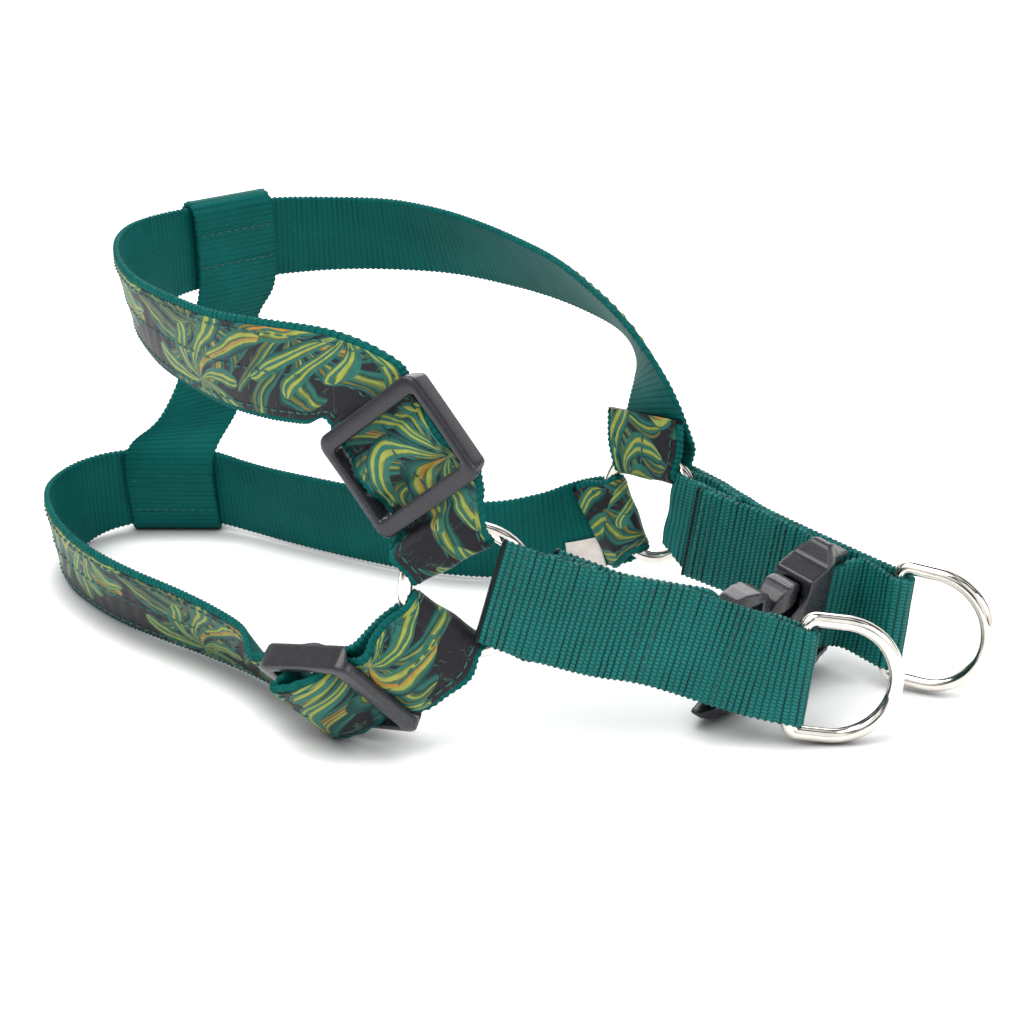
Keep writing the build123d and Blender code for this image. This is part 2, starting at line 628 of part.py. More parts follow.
def main():
    os.makedirs("parts", exist_ok=True)
    neck = neck_stations()
    girth = girth_stations()
    neck_far = neck_far_stations()
    girth_far = girth_far_stations()
    write("neck_webbing", ribbon(neck))
    write("neck_print_ribbon", print_ribbon(neck))
    write("girth_webbing", ribbon(girth))
    write("girth_print_ribbon", print_ribbon(girth))
    write("neck_webbing_far_end", ribbon(neck_far))
    write("neck_print_far_end", print_ribbon(neck_far))
    write("girth_webbing_far_end", ribbon(girth_far))
    write("girth_print_far_end", print_ribbon(girth_far))
    write("chest_strap", ribbon(chest_stations()))
    axis = ortho(BUCKLE_AXIS, BUCKLE_UP)
    up = unit(BUCKLE_UP)
    socket_bar = PLUG_BAR + axis * BUCKLE_BAR_SPAN
    near_wrap = bar_wrap(NEAR_RING, NEAR_AXES, PLUG_BAR, up, axis)
    far_wrap = bar_wrap(FAR_RING, FAR_AXES, socket_bar, up, axis * -1)
    write("near_ring_loop", ring_loop(NEAR_RING, NEAR_AXES))
    write("far_ring_loop", ring_loop(FAR_RING, FAR_AXES))
    write("near_lead_tab", lead_tab(NEAR_RING, NEAR_AXES, NEAR_D_BAR, NEAR_D_UP, near_wrap))
    write("far_lead_tab", lead_tab(FAR_RING, FAR_AXES, FAR_D_BAR, FAR_D_UP, far_wrap))
    write("near_o_ring", o_ring(NEAR_RING, NEAR_AXES))
    write("far_o_ring", o_ring(FAR_RING, FAR_AXES))
    write("near_d_ring", d_ring(NEAR_D_BAR, NEAR_D_UP, NEAR_D_OUT))
    write("far_d_ring", d_ring(FAR_D_BAR, FAR_D_UP, FAR_D_OUT))
    write("neck_slider", slider(NECK_SLIDER, NECK_SLIDER_RUN, NECK_SLIDER_UP))
    write("girth_slider", slider(GIRTH_SLIDER, GIRTH_SLIDER_RUN, GIRTH_SLIDER_UP))
    write("buckle_plug", buckle_plug())
    write("plug_upper_arm", plug_arm(1))
    write("plug_lower_arm", plug_arm(-1))
    write("buckle_socket", buckle_socket())
    write("near_tab_stitching", tab_stitching(NEAR_RING, NEAR_AXES))
    write("far_tab_stitching", tab_stitching(FAR_RING, FAR_AXES))
    write("chest_upper_stitching", chest_stitching(CHEST_TOP, CHEST_TOP_UP, CHEST_TOP_RUN, 1))
    write("chest_lower_stitching", chest_stitching(CHEST_FOOT, CHEST_FOOT_UP, CHEST_FOOT_RUN, -1))
    write("care_label", care_label())


if __name__ == "__main__":
    main()
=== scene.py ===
import math

import bmesh
import bpy
import numpy as np
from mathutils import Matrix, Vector


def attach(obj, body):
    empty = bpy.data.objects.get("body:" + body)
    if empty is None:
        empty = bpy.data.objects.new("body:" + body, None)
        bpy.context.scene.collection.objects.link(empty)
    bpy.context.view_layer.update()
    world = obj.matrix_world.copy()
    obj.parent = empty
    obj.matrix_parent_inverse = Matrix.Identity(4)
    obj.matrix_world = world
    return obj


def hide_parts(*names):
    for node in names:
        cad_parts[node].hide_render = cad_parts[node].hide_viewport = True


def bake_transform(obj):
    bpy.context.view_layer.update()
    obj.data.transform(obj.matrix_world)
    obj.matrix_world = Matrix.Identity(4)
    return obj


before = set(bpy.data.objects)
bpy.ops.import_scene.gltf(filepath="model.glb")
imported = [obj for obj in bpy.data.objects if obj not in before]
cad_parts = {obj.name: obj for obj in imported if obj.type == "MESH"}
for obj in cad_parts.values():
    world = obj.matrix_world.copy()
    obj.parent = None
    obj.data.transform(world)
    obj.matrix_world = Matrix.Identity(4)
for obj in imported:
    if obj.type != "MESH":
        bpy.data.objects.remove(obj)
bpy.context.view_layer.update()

# Looks of a step-in dog harness round its imported CAD frame. Lengths are millimetres in the
# CAD source's working frame until make_object() and moulded() move them into the row frame.

MM = 0.001
FRAME_SHIFT = np.array([5.4, 74.5, 0.0])

# webbing and print
WEB_WIDTH = 25.0
WEB_THICK = 1.5
PRINT_THICK = 0.45
PRINT_OFFSET = 0.93
RIBBON_INSET = 1.5
STITCH_V = WEB_WIDTH / 2 - RIBBON_INSET - 1.5
STRAP_STEP = 0.42
TAB_STEP = 0.25
RIB_PITCH = 1.5
RIB_HEIGHT = 0.2
LOOP_RIB_HEIGHT = 0.05
DASH_PITCH = 0.93
BEAD_PITCH = 1.5
BEAD_HEIGHT = 0.2
SELVEDGE = 1.3
# reach of the dark mark at a sealed end: the sealed end's own colour, and painted shade for the gap
# where the layer ends
SEAL_SHADE_LENGTH = 1.1
PUCKER_PITCH = 5.8
PUCKER_HEIGHT = 0.09
DRAWN_DEPTH = 0.1
FOLD_WIDTH = 21.0
PLEAT_HEIGHT = 0.4
SOFTEN = 0.9

# stitches: rows along the ribbon, and columns across a sewn end
STITCH_LENGTH = 2.1
STITCH_GAP = 0.9
STITCH_ENDS = 3.0
STITCH_R = 0.24
STITCH_RINGS = 7
STITCH_AROUND = 8
STITCH_RISE = 0.32
STITCH_SINK = 0.12
SEAM_SPAN = 21.0
SEAM_COUNT = 9
SEAM_STITCH = 2.0
SEAM_SLANT = 0.12
SEAM_LIFT = WEB_THICK / 2 + 0.1

# rings
O_RING_MID_R = 14.6
O_RING_WIRE_R = 1.875
FOLD_REACH = 10.9
FOLD_HALF_GAP = 2.1
LOOP_FOLD_REACH = FOLD_REACH - 1.2
LEG_REACH = 16.0
LEG_WIDTH = 24.6
D_HALF_H = 14.3
D_DEPTH = 23.5
D_CORNER_R = 2.5
D_WIRE_R = 1.8
D_FOLD_R = 2.8

# sliders
SLIDER_LENGTH = 28.0
SLIDER_WIDTH = 31.0
SLIDER_BAR = 4.3
SLIDER_SLOT = 26.0
SLIDER_LOW = 1.5
SLIDER_RAIL_DROP = 3.4
SLIDER_HIGH = 4.8
SLIDER_MID_LOW = -3.1
SLIDER_MID_HIGH = -1.1
SLIDER_MID_BAR = 4.0
SLIDER_CORNER_R = 3.0
SLIDER_WINDOW_R = 1.2
SLIDER_AROUND = 20
SLIDER_SQUARENESS = 0.34
SLIDER_DIP_REACH = 9.0
SLIDER_GRIP_PITCH = 2.4

# buckle, along its axis from the plug's webbing bar
BUCKLE_BAR_SPAN = 40.0
BUCKLE_BAR_R = 2.0
BUCKLE_SLOT = 26.6
BUCKLE_HALF_W = 16.5
SOCKET_END = 42.0

# layout, as in the CAD source
NEAR_RING = np.array([-9.8, -146.0, 39.7])
NEAR_D_BAR = np.array([66.4, -145.0, 17.6])
FAR_RING = np.array([37.0, -61.0, 27.0])
FAR_D_BAR = np.array([93.6, -113.8, 17.4])
NEAR_TAB_UP = np.array([0.28, 0.14, 0.95])
FAR_TAB_UP = np.array([0.09, 0.02, 0.99])
NEAR_D_UP = np.array([0.13, 0.06, 0.985])
NEAR_D_OUT = np.array([0.99, 0.02, -0.13])
FAR_D_UP = np.array([0.10, 0.05, 0.99])
FAR_D_OUT = np.array([0.90, -0.42, -0.08])
PLUG_BAR = np.array([50.3, -135.0, 18.4])
BUCKLE_AXIS = np.array([0.69, 0.72, 0.04])
BUCKLE_UP = np.array([0.11, -0.14, 0.98])
NECK_FOLD_ANGLE = 134.0
GIRTH_FOLD_ANGLE = 250.0
FAR_NECK_FOLD_ANGLE = 102.0
FAR_GIRTH_FOLD_ANGLE = 219.0
FAR_GIRTH_TAIL_UP = np.array([-0.41, 0.11, 0.82])
NECK_SLIDER = np.array([-24.2, -141.0, 71.3])
NECK_SLIDER_RUN = np.array([-0.57, 0.31, 0.76])
NECK_SLIDER_UP = np.array([0.71, -0.28, 0.64])
GIRTH_SLIDER = np.array([-39.0, -147.5, 16.9])
GIRTH_SLIDER_RUN = np.array([-0.78, 0.58, -0.24])
GIRTH_SLIDER_UP = np.array([-0.54, -0.42, 0.73])
NECK_STRAIGHT = (0.0, 8.0, 13.0, 17.5)
GIRTH_STRAIGHT = (0.0, 8.0, 13.0, 17.5, 20.5)

NECK_ROUTE = [
    (-44.5, -129.5, 85.5, 0.30, -0.12, 0.95),
    (-56.5, -122.3, 85.0, 0.05, -0.10, 1.00),
    (-68.0, -112.0, 84.0, -0.10, -0.12, 0.99),
    (-79.0, -99.0, 84.0, -0.16, -0.14, 0.98),
    (-88.5, -84.5, 84.0, -0.22, -0.13, 0.97),
    (-94.5, -71.0, 84.0, -0.24, -0.10, 0.97),
    (-98.5, -57.0, 83.6, -0.22, -0.04, 0.97),
    (-100.5, -42.5, 83.5, -0.17, 0.00, 0.99),
    (-98.5, -28.5, 83.2, -0.10, -0.02, 1.00),
    (-90.0, -13.7, 83.0, 0.02, -0.16, 0.98),
    (-79.0, -3.7, 82.5, 0.02, -0.22, 0.97),
    (-67.0, 4.6, 82.2, 0.03, -0.27, 0.96),
    (-50.0, 9.5, 81.7, 0.00, -0.36, 0.93),
    (-33.5, 9.0, 81.5, -0.09, -0.39, 0.92),
    (-18.5, 3.0, 81.2, -0.20, -0.45, 0.87),
    (-5.5, -7.0, 80.6, -0.32, -0.46, 0.83),
    (6.0, -18.0, 79.6, -0.40, -0.48, 0.78),
    (16.5, -30.0, 78.0, -0.46, -0.48, 0.75),
    (25.0, -41.5, 75.0, -0.42, -0.60, 0.68),
    (31.5, -50.5, 69.5, -0.20, -0.75, 0.60),
    (35.0, -56.0, 62.0, 0.15, -0.86, 0.46),
    (36.6, -58.9, 55.6, 0.40, -0.82, 0.33),
]
GIRTH_ROUTE = [
    (-60.0, -124.5, 11.8, -0.38, -0.36, 0.85),
    (-69.5, -113.5, 11.9, -0.31, -0.36, 0.88),
    (-80.5, -103.5, 12.1, -0.25, -0.36, 0.89),
    (-93.0, -93.5, 12.4, -0.25, -0.32, 0.91),
    (-104.5, -82.5, 12.5, -0.26, -0.24, 0.94),
    (-114.0, -70.0, 12.6, -0.24, -0.16, 0.95),
    (-121.5, -56.0, 12.7, -0.18, -0.08, 0.98),
    (-125.0, -42.0, 12.8, -0.13, -0.02, 0.99),
    (-123.0, -29.0, 12.8, -0.06, -0.02, 1.00),
    (-117.0, -20.3, 13.6, 0.00, -0.14, 0.99),
    (-108.0, -15.9, 14.3, 0.00, -0.22, 0.97),
    (-96.5, -14.6, 14.6, 0.00, -0.25, 0.967),
    (-85.0, -16.3, 14.3, -0.02, -0.25, 0.965),
    (-74.0, -22.0, 13.4, -0.10, -0.25, 0.96),
    (-65.5, -27.3, 13.1, -0.12, -0.24, 0.96),
    (-56.5, -32.5, 13.0, -0.13, -0.22, 0.97),
    (-43.5, -40.0, 13.1, -0.12, -0.21, 0.97),
    (-30.0, -47.0, 13.1, -0.10, -0.24, 0.97),
    (-16.0, -51.5, 13.1, -0.08, -0.25, 0.95),
    (-3.0, -52.8, 13.3, -0.06, -0.22, 0.96),
    (8.0, -51.6, 14.5, -0.08, -0.16, 0.97),
    (14.5, -50.3, 15.6, -0.14, -0.08, 0.97),
]
INNER_RUN = [(3.5, 2.6), (11.0, 3.4)]
CHEST_TOP = np.array([-79.0, -3.7, 82.5])
CHEST_TOP_UP = np.array([0.02, -0.22, 0.97])
CHEST_TOP_RUN = np.array([0.78, 0.62, 0.0])
CHEST_FOOT = np.array([-96.5, -14.6, 14.6])
CHEST_FOOT_UP = np.array([0.0, -0.25, 0.967])
CHEST_FOOT_RUN = np.array([1.0, 0.0, 0.0])
CHEST_ROUTE = [
    (-81.5, -5.0, 60.0, 0.72, 0.69, 0.0),
    (-84.0, -8.5, 48.0, 0.70, 0.71, 0.0),
    (-88.5, -13.5, 36.0, 0.85, 0.52, 0.0),
]
CHEST_INNER = -3.2
CHEST_OUTER = 2.6
CHEST_EDGE = 11.2
CHEST_TAIL = 18.0
CHEST_EASE = 12.0
CHEST_SEAMS = (-4.0, 6.0)

# lead tabs: distance from the ring's centre, and height over the tab's middle plane
TAB_LIFT = 3.2
LOOP_LIFT = 4.0
TAB_LIFT_END = 45.0
TAB_HUMP = 1.8
TAB_HUMP_AT = 52.0
TAB_HUMP_REACH = 10.0
TAB_OUTER_END = [(3.6, 5.6), (10.0, 5.4), (18.0, 4.7)]
TAB_INNER_END = [(17.0, 4.6)]
TAB_BODY = [(22.5, 3.5), (27.5, 2.7), (34.0, 1.2)]
TAB_MIDDLE = (46.0, 0.95)
TAB_SPREAD = 1.2
TAB_SEAMS = [(6.6, 5.55), (9.4, 5.45), (40.5, 1.05), (43.5, 1.05), (61.5, 1.15), (64.5, 1.15)]
TAB_INNER_SEAM = 4.5
LOOP_TAIL = [(27.0, 0.95), (22.5, 1.7)]

# where the tab leaves for its D-ring and comes back, and clears the buckle's bar
D_FOLD_START = 13.0
D_FOLD_END = 11.0
WRAP_BEFORE = 9.0
WRAP_AFTER = 11.0

# the loops' sewn tails behind the far ring, and their arches in the sliders' windows:
# how far ahead of the middle, how high, how long each way, and the lean along the run
NECK_TAIL = 9.0
GIRTH_TAIL = 4.0
NECK_ARCH = (0.0, 2.5, 6.6, 0.0)
GIRTH_ARCH = (1.2, 8.0, 7.8, 6.6)

# blank label on the girth strap's inner face: along from the far end, and across
LABEL_BACK = 38.0
LABEL_LOW = -12.8
LABEL_LENGTH = 9.0
LABEL_HEIGHT = 9.0
LABEL_HALF_THICK = 0.2
LABEL_CLEAR = 0.55
LABEL_CURL = 0.3

# studio, in metres
CAMERA_DISTANCE = 0.677
CAMERA_ELEVATION = math.radians(22.0)
CAMERA_LENS = 80.86
FLOOR_HALF = 20.0
LIGHT_TARGET = np.array([0.0, 0.0, 0.04])
LIGHTS = (
    ("key", (-0.35, -0.25, 0.9), 0.9, 10.0),
    ("side", (0.9, -0.5, 0.5), 0.5, 2.6),
    ("back", (0.1, 0.9, 0.7), 0.7, 5.0),
)


# ---------------- vectors and rows

def unit(v):
    v = np.asarray(v, float)
    return v / np.linalg.norm(v)


def row(point, up, width=WEB_WIDTH):
    return np.concatenate([point, unit(up), [width]])


def full_width(rows):
    return [row(r[:3], r[3:6]) for r in rows]


def catmull(rows, steps):
    """Rows on a Catmull-Rom curve through the given rows."""
    rows = np.asarray(rows, float)
    padded = np.vstack([rows[:1], rows, rows[-1:]])
    made = []
    for i in range(len(rows) - 1):
        a, b, c, d = padded[i:i + 4]
        for t in np.arange(steps) / steps:
            made.append(0.5 * (2 * b + (c - a) * t + (2 * a - 5 * b + 4 * c - d) * t**2
                               + (3 * b - a - 3 * c + d) * t**3))
    made.append(rows[-1])
    return made


def arc_turn(centre, towards, side, up, radius, width, steps=12):
    """Half a turn from +side to -side, bulging away from `towards`."""
    made = []
    for a in np.linspace(0, math.pi, steps + 1):
        point = centre + side * (radius * math.cos(a)) - towards * (radius * math.sin(a))
        made.append(row(point, up, width))
    return made


def ring_axes(ring, tab_end, tab_up, sense):
    """In-plane axes of an O-ring: along its tab, across it, and its normal."""
    along = unit(tab_end - ring)
    across = unit(tab_up - along * np.dot(tab_up, along))
    return along, across, unit(np.cross(across, along)) * sense


NEAR_AXES = ring_axes(NEAR_RING, NEAR_D_BAR, NEAR_TAB_UP, -1)
FAR_AXES = ring_axes(FAR_RING, FAR_D_BAR, FAR_TAB_UP, 1)


def radial(axes, angle):
    a = math.radians(angle)
    return axes[0] * math.cos(a) + axes[1] * math.sin(a)


def ring_fold(ring, axes, angle, first_side, turn_sense, reach=FOLD_REACH):
    """A strap that passes through an O-ring and doubles back."""
    away = radial(axes, angle)
    side = axes[2] * first_side
    up = radial(axes, angle + 90 * turn_sense)
    h = FOLD_HALF_GAP + WEB_THICK / 2
    leg_in = row(ring + away * LEG_REACH + side * h, up, LEG_WIDTH)
    leg_out = row(ring + away * LEG_REACH - side * h, up, LEG_WIDTH)
    turn = arc_turn(ring + away * reach, away, side, up, h, FOLD_WIDTH)
    return [leg_in] + turn + [leg_out]


# ---------------- strap routes

def doubled_near_run(angle, slider, run, slider_up):
    """Inner run from the slider to the near ring, the fold, and the outer run back."""
    fold = ring_fold(NEAR_RING, NEAR_AXES, angle, -1, -1)
    out = unit(np.cross(slider_up, run))
    inner = [row(slider - run * back - out * under, slider_up) for back, under in INNER_RUN]
    inner += [fold[0]]
    outer = [fold[-1], row(slider - run * (SLIDER_LENGTH / 2 + 0.5), slider_up)]
    return catmull(inner, 3)[:-1] + fold + catmull(outer, 2)[1:]


def far_turn(angle, tail_length, tail_up):
    """The sewn far end: fold through the far ring and a short tail."""
    fold = ring_fold(FAR_RING, FAR_AXES, angle, 1, -1)
    away = radial(FAR_AXES, angle)
    h = FOLD_HALF_GAP + WEB_THICK / 2 - 0.2
    end = FAR_RING + away * (LEG_REACH + tail_length) - FAR_AXES[2] * h
    return fold, row(end, tail_up)


def loop_rows(angle, slider, run, slider_up, straight_places, route, far_angle, tail_length,
              tail_up):
    """One whole loop strap: near ring, slider, round the back, far ring, short tail."""
    run = unit(run)
    slider_up = unit(slider_up)
    near = doubled_near_run(angle, slider, run, slider_up)
    fold, end = far_turn(far_angle, tail_length, tail_up)
    straight = [row(slider + run * s, slider_up) for s in straight_places]
    middle = catmull(straight + full_width(route) + [fold[0]], 4)
    return near + middle[:-1] + fold + [end]


def edge_wrap(point, up, run, edge_k, sense):
    """Rows that fold the chest strap round one edge of a loop strap."""
    u = unit(up)
    t = unit(run)
    out = unit(np.cross(u, t))
    middle = (CHEST_INNER + CHEST_OUTER) / 2
    radius = (CHEST_OUTER - CHEST_INNER) / 2
    outer_end = row(point + out * CHEST_OUTER + u * (edge_k - sense * CHEST_TAIL), t)
    turn = arc_turn(point + out * middle + u * edge_k, u * -sense, out, t, radius, WEB_WIDTH)
    return [outer_end] + turn


def chest_rows():
    """The chest strap, folded round the neck strap above and the girth strap below."""
    top = edge_wrap(CHEST_TOP, CHEST_TOP_UP, CHEST_TOP_RUN, CHEST_EDGE, 1)
    foot = edge_wrap(CHEST_FOOT, CHEST_FOOT_UP, CHEST_FOOT_RUN, -CHEST_EDGE, -1)[::-1]
    top_out = unit(np.cross(CHEST_TOP_UP, CHEST_TOP_RUN))
    foot_out = unit(np.cross(CHEST_FOOT_UP, CHEST_FOOT_RUN))
    below_neck = CHEST_TOP + top_out * CHEST_INNER - unit(CHEST_TOP_UP) * CHEST_EASE
    above_girth = CHEST_FOOT + foot_out * CHEST_INNER + unit(CHEST_FOOT_UP) * CHEST_EASE
    rows = [top[-1], row(below_neck, CHEST_TOP_RUN)] + full_width(CHEST_ROUTE)
    rows += [row(above_girth, CHEST_FOOT_RUN), foot[0]]
    return top[:-1] + catmull(rows, 4) + foot[1:]


def tab_point(ring, axes, s, h):
    """A point on a tab, s from its ring's centre and h over its middle plane."""
    return ring + axes[0] * s + axes[1] * tab_lift(ring, s) + axes[2] * h


def tab_lift(ring, s):
    """The near tab's sewn end stands a little higher than the line to its D-ring."""
    if ring is FAR_RING:
        return 0.0
    hump = TAB_HUMP * math.exp(-((s - TAB_HUMP_AT) / TAB_HUMP_REACH) ** 2)
    return TAB_LIFT * max(0.0, 1.0 - s / TAB_LIFT_END) ** 2 + hump


def tab_layer(ring, axes, places, sense):
    """Rows of one tab layer, above (1) or below (-1) its middle plane."""
    return [row(tab_point(ring, axes, s, h * sense), axes[1]) for s, h in places]


def ring_loop_rows(ring, axes):
    """Short webbing loop through the O-ring, its tails sewn into the tab."""
    fold = ring_fold(ring, axes, 0.0, 1, 1, LOOP_FOLD_REACH)
    if ring is FAR_RING:
        for r in fold:
            s = np.dot(r[:3] - ring, axes[0])
            r[:3] += axes[1] * LOOP_LIFT * (1 - s / 20.0)
    first = tab_layer(ring, axes, LOOP_TAIL, 1) + [fold[0]]
    last = tab_layer(ring, axes, LOOP_TAIL, -1) + [fold[-1]]
    return catmull(first, 3)[:-1] + fold + catmull(last, 3)[::-1][1:]


def bar_wrap(axes, bar, bar_up, slot_dir):
    """The tab's inner layer where it passes round a buckle bar."""
    side = unit(np.cross(bar_up, slot_dir))
    if np.dot(side, axes[0]) < 0:
        side = -side
    radius = BUCKLE_BAR_R + 0.1 + WEB_THICK / 2
    return arc_turn(bar, -slot_dir, side, bar_up, radius, WEB_WIDTH - 1.0, 8)


def tab_rows(ring, axes, d_bar, d_up, wrap):
    """One webbing strip: outer layer, fold round the D-ring, inner layer."""
    reach = np.linalg.norm(d_bar - ring)
    outer = TAB_OUTER_END + TAB_BODY + [TAB_MIDDLE, (reach - D_FOLD_START, TAB_SPREAD)]
    turn = arc_turn(d_bar, -axes[0], axes[2], unit(d_up), D_FOLD_R, WEB_WIDTH - 1.2)
    first = catmull(tab_layer(ring, axes, outer, 1) + [turn[0]], 3)
    wrap_s = np.mean([np.dot(r[:3] - ring, axes[0]) for r in wrap])
    before = [(min(reach - D_FOLD_END, wrap_s + WRAP_BEFORE), TAB_SPREAD)]
    back = [turn[-1]] + tab_layer(ring, axes, before, -1) + [wrap[0]]
    after = [(wrap_s - WRAP_AFTER, TAB_SPREAD)]
    if wrap_s - WRAP_AFTER > TAB_MIDDLE[0]:
        after += [TAB_MIDDLE]
    after += (TAB_INNER_END + TAB_BODY)[::-1]
    left = [wrap[-1]] + tab_layer(ring, axes, after, -1)
    return first[:-1] + turn + catmull(back, 3)[1:-1] + wrap + catmull(left, 3)[1:]


# ---------------- strap surfaces

def soften(values, sigma):
    """Gaussian smoothing along the strap that leaves both ends where they are."""
    reach = int(3 * sigma)
    if reach < 1:
        return values
    kernel = np.exp(-0.5 * (np.arange(-reach, reach + 1) / sigma) ** 2)
    kernel /= kernel.sum()
    head = 2 * values[0] - values[reach:0:-1]
    tail = 2 * values[-1] - values[-2:-reach - 2:-1]
    padded = np.vstack([head, values, tail])
    columns = [np.convolve(padded[:, k], kernel, "valid") for k in range(padded.shape[1])]
    return np.column_stack(columns)


class Line:
    """A strap's centre line: stations at an even step, with up, out, width and length."""

    def __init__(self, rows, step=STRAP_STEP, softening=SOFTEN):
        dense = np.array(catmull(rows, 8))
        gaps = np.linalg.norm(np.diff(dense[:, :3], axis=0), axis=1)
        keep = np.concatenate([[True], gaps > 1e-6])
        dense = dense[keep]
        along = np.concatenate([[0.0], np.cumsum(gaps[gaps > 1e-6])])
        count = int(round(along[-1] / step)) + 1
        even = np.linspace(0, along[-1], count)
        table = np.column_stack([np.interp(even, along, dense[:, k]) for k in range(7)])
        table = soften(table, softening / step)
        self.centre = table[:, :3]
        self.up = table[:, 3:6] / np.linalg.norm(table[:, 3:6], axis=1)[:, None]
        self.width = table[:, 6]
        gaps = np.linalg.norm(np.diff(self.centre, axis=0), axis=1)
        self.s = np.concatenate([[0.0], np.cumsum(gaps)])
        self.aim()

    def aim(self):
        self.run = np.gradient(self.centre, axis=0)
        self.run /= np.linalg.norm(self.run, axis=1)[:, None]
        self.out = np.cross(self.up, self.run)
        self.out /= np.linalg.norm(self.out, axis=1)[:, None]

    def bulge(self, origin, run, out, height, reach, lean):
        """Lets the strap arch up in a slider's window, leaning along its run."""
        along = (self.centre - origin) @ run
        off = (self.centre - origin) @ out
        near = (np.abs(along) < reach) & (np.abs(off) < 2.0)
        near &= np.linalg.norm(self.centre - origin, axis=1) < reach + 2.0
        arch = 1 - np.sin(np.clip(along / reach, -1, 1) * math.pi / 2) ** 4
        lift = np.where(near, arch, 0.0)
        self.centre = (self.centre + out * (lift * height)[:, None]
                       + run * (lift**3 * lean)[:, None])
        self.aim()


def section(width, thick, across):
    """Outline of a flat strap with round edges: (v, n) going once round."""
    r = thick / 2
    flat = np.linspace(-(width / 2 - r), width / 2 - r, across)
    arc = np.radians(np.linspace(-90, 90, 9))[1:-1]
    v = np.concatenate([flat, width / 2 - r + r * np.cos(arc), flat[::-1],
                        -(width / 2 - r) - r * np.cos(arc)])
    n = np.concatenate([np.full(across, -r), r * np.sin(arc), np.full(across, r),
                        -r * np.sin(arc)])
    return v, n


def pleats(line, v):
    """Height of the folds where a strap is gathered narrower than its webbing."""
    gather = np.clip((WEB_WIDTH - line.width) / (WEB_WIDTH - FOLD_WIDTH), 0, 1) ** 1.5
    wave = 0.5 + 0.5 * np.cos(2 * math.pi * (v / WEB_WIDTH * 2.0 + 0.1))
    return PLEAT_HEIGHT * gather[:, None] * wave[None, :]


def web_relief(line, v, n, fine):
    """Cross ribs and a beaded selvedge."""
    s = line.s[:, None]
    half = WEB_WIDTH / 2
    edge = np.clip(np.abs(v)[None, :] - (half - SELVEDGE), 0, 1)
    crest = 1 - (0.5 - 0.5 * np.cos(2 * math.pi * s / RIB_PITCH)) ** 3
    ribs = (RIB_HEIGHT if fine else LOOP_RIB_HEIGHT) * crest
    beads = BEAD_HEIGHT * (0.4 + np.cos(2 * math.pi * (s / BEAD_PITCH + 0.25 * np.sign(v)[None, :])))
    relief = (ribs * (1 - edge) + beads * edge) * np.sign(n)[None, :]
    spread = BEAD_HEIGHT * 0.9 * edge * np.sign(v)[None, :]
    spread = spread * np.cos(2 * math.pi * (s / BEAD_PITCH + 0.5))
    return relief, spread


def print_relief(line, v, n):
    """The thin ribbon puckers a little between its rows of stitches."""
    s = line.s[:, None]
    pucker = PUCKER_HEIGHT * np.sin(2 * math.pi * s / PUCKER_PITCH + 0.4 * v[None, :])
    pucker = pucker * np.cos(math.pi * v[None, :] / (WEB_WIDTH - 2 * RIBBON_INSET))
    drawn = -DRAWN_DEPTH * np.exp(-((np.abs(v)[None, :] - STITCH_V) / 0.7) ** 2)
    return (pucker + drawn) * (np.sign(n)[None, :] > 0)


def tube_faces(rings, around, closed=False):
    """Quads between outlines of `around` points; a closed tube joins its last to its first."""
    i = np.arange(rings if closed else rings - 1)[:, None]
    j = np.arange(around)[None, :]
    following = (i + 1) % rings
    k = (j + 1) % around
    return np.stack([i * around + j, i * around + k, following * around + k,
                     following * around + j], axis=-1).reshape(-1, 4)


def capped_tube(rings, around, base=0):
    """Faces of a tube with a cap at each end, its points starting at `base`."""
    faces = (tube_faces(rings, around) + base).tolist()
    faces.append([base + j for j in range(around)][::-1])
    faces.append([base + (rings - 1) * around + j for j in range(around)])
    return faces


def add_object(name, data):
    """Puts a mesh, light or camera in the scene."""
    piece = bpy.data.objects.new(name, data)
    bpy.context.scene.collection.objects.link(piece)
    return piece


def make_object(name, points, faces, uv=None, attributes=()):
    """A mesh object in metres in the row frame; uv is one pair for each point."""
    mesh = bpy.data.meshes.new(name)
    metres = (np.asarray(points, float) + FRAME_SHIFT) * MM
    mesh.from_pydata(metres.tolist(), [], faces)
    if uv is not None:
        layer = mesh.uv_layers.new(name="strap")
        loops = np.zeros(len(mesh.loops), np.int32)
        mesh.loops.foreach_get("vertex_index", loops)
        layer.data.foreach_set("uv", np.asarray(uv, np.float32)[loops].ravel())
    for key, values in attributes:
        layer = mesh.attributes.new(key, "FLOAT", "POINT")
        layer.data.foreach_set("value", np.asarray(values, np.float32))
    mesh.validate()
    tidy_normals(mesh)
    mesh.shade_smooth()
    return add_object(name, mesh)


def tidy_normals(mesh):
    work = bmesh.new()
    work.from_mesh(mesh)
    bmesh.ops.recalc_face_normals(work, faces=work.faces)
    work.to_mesh(mesh)
    work.free()


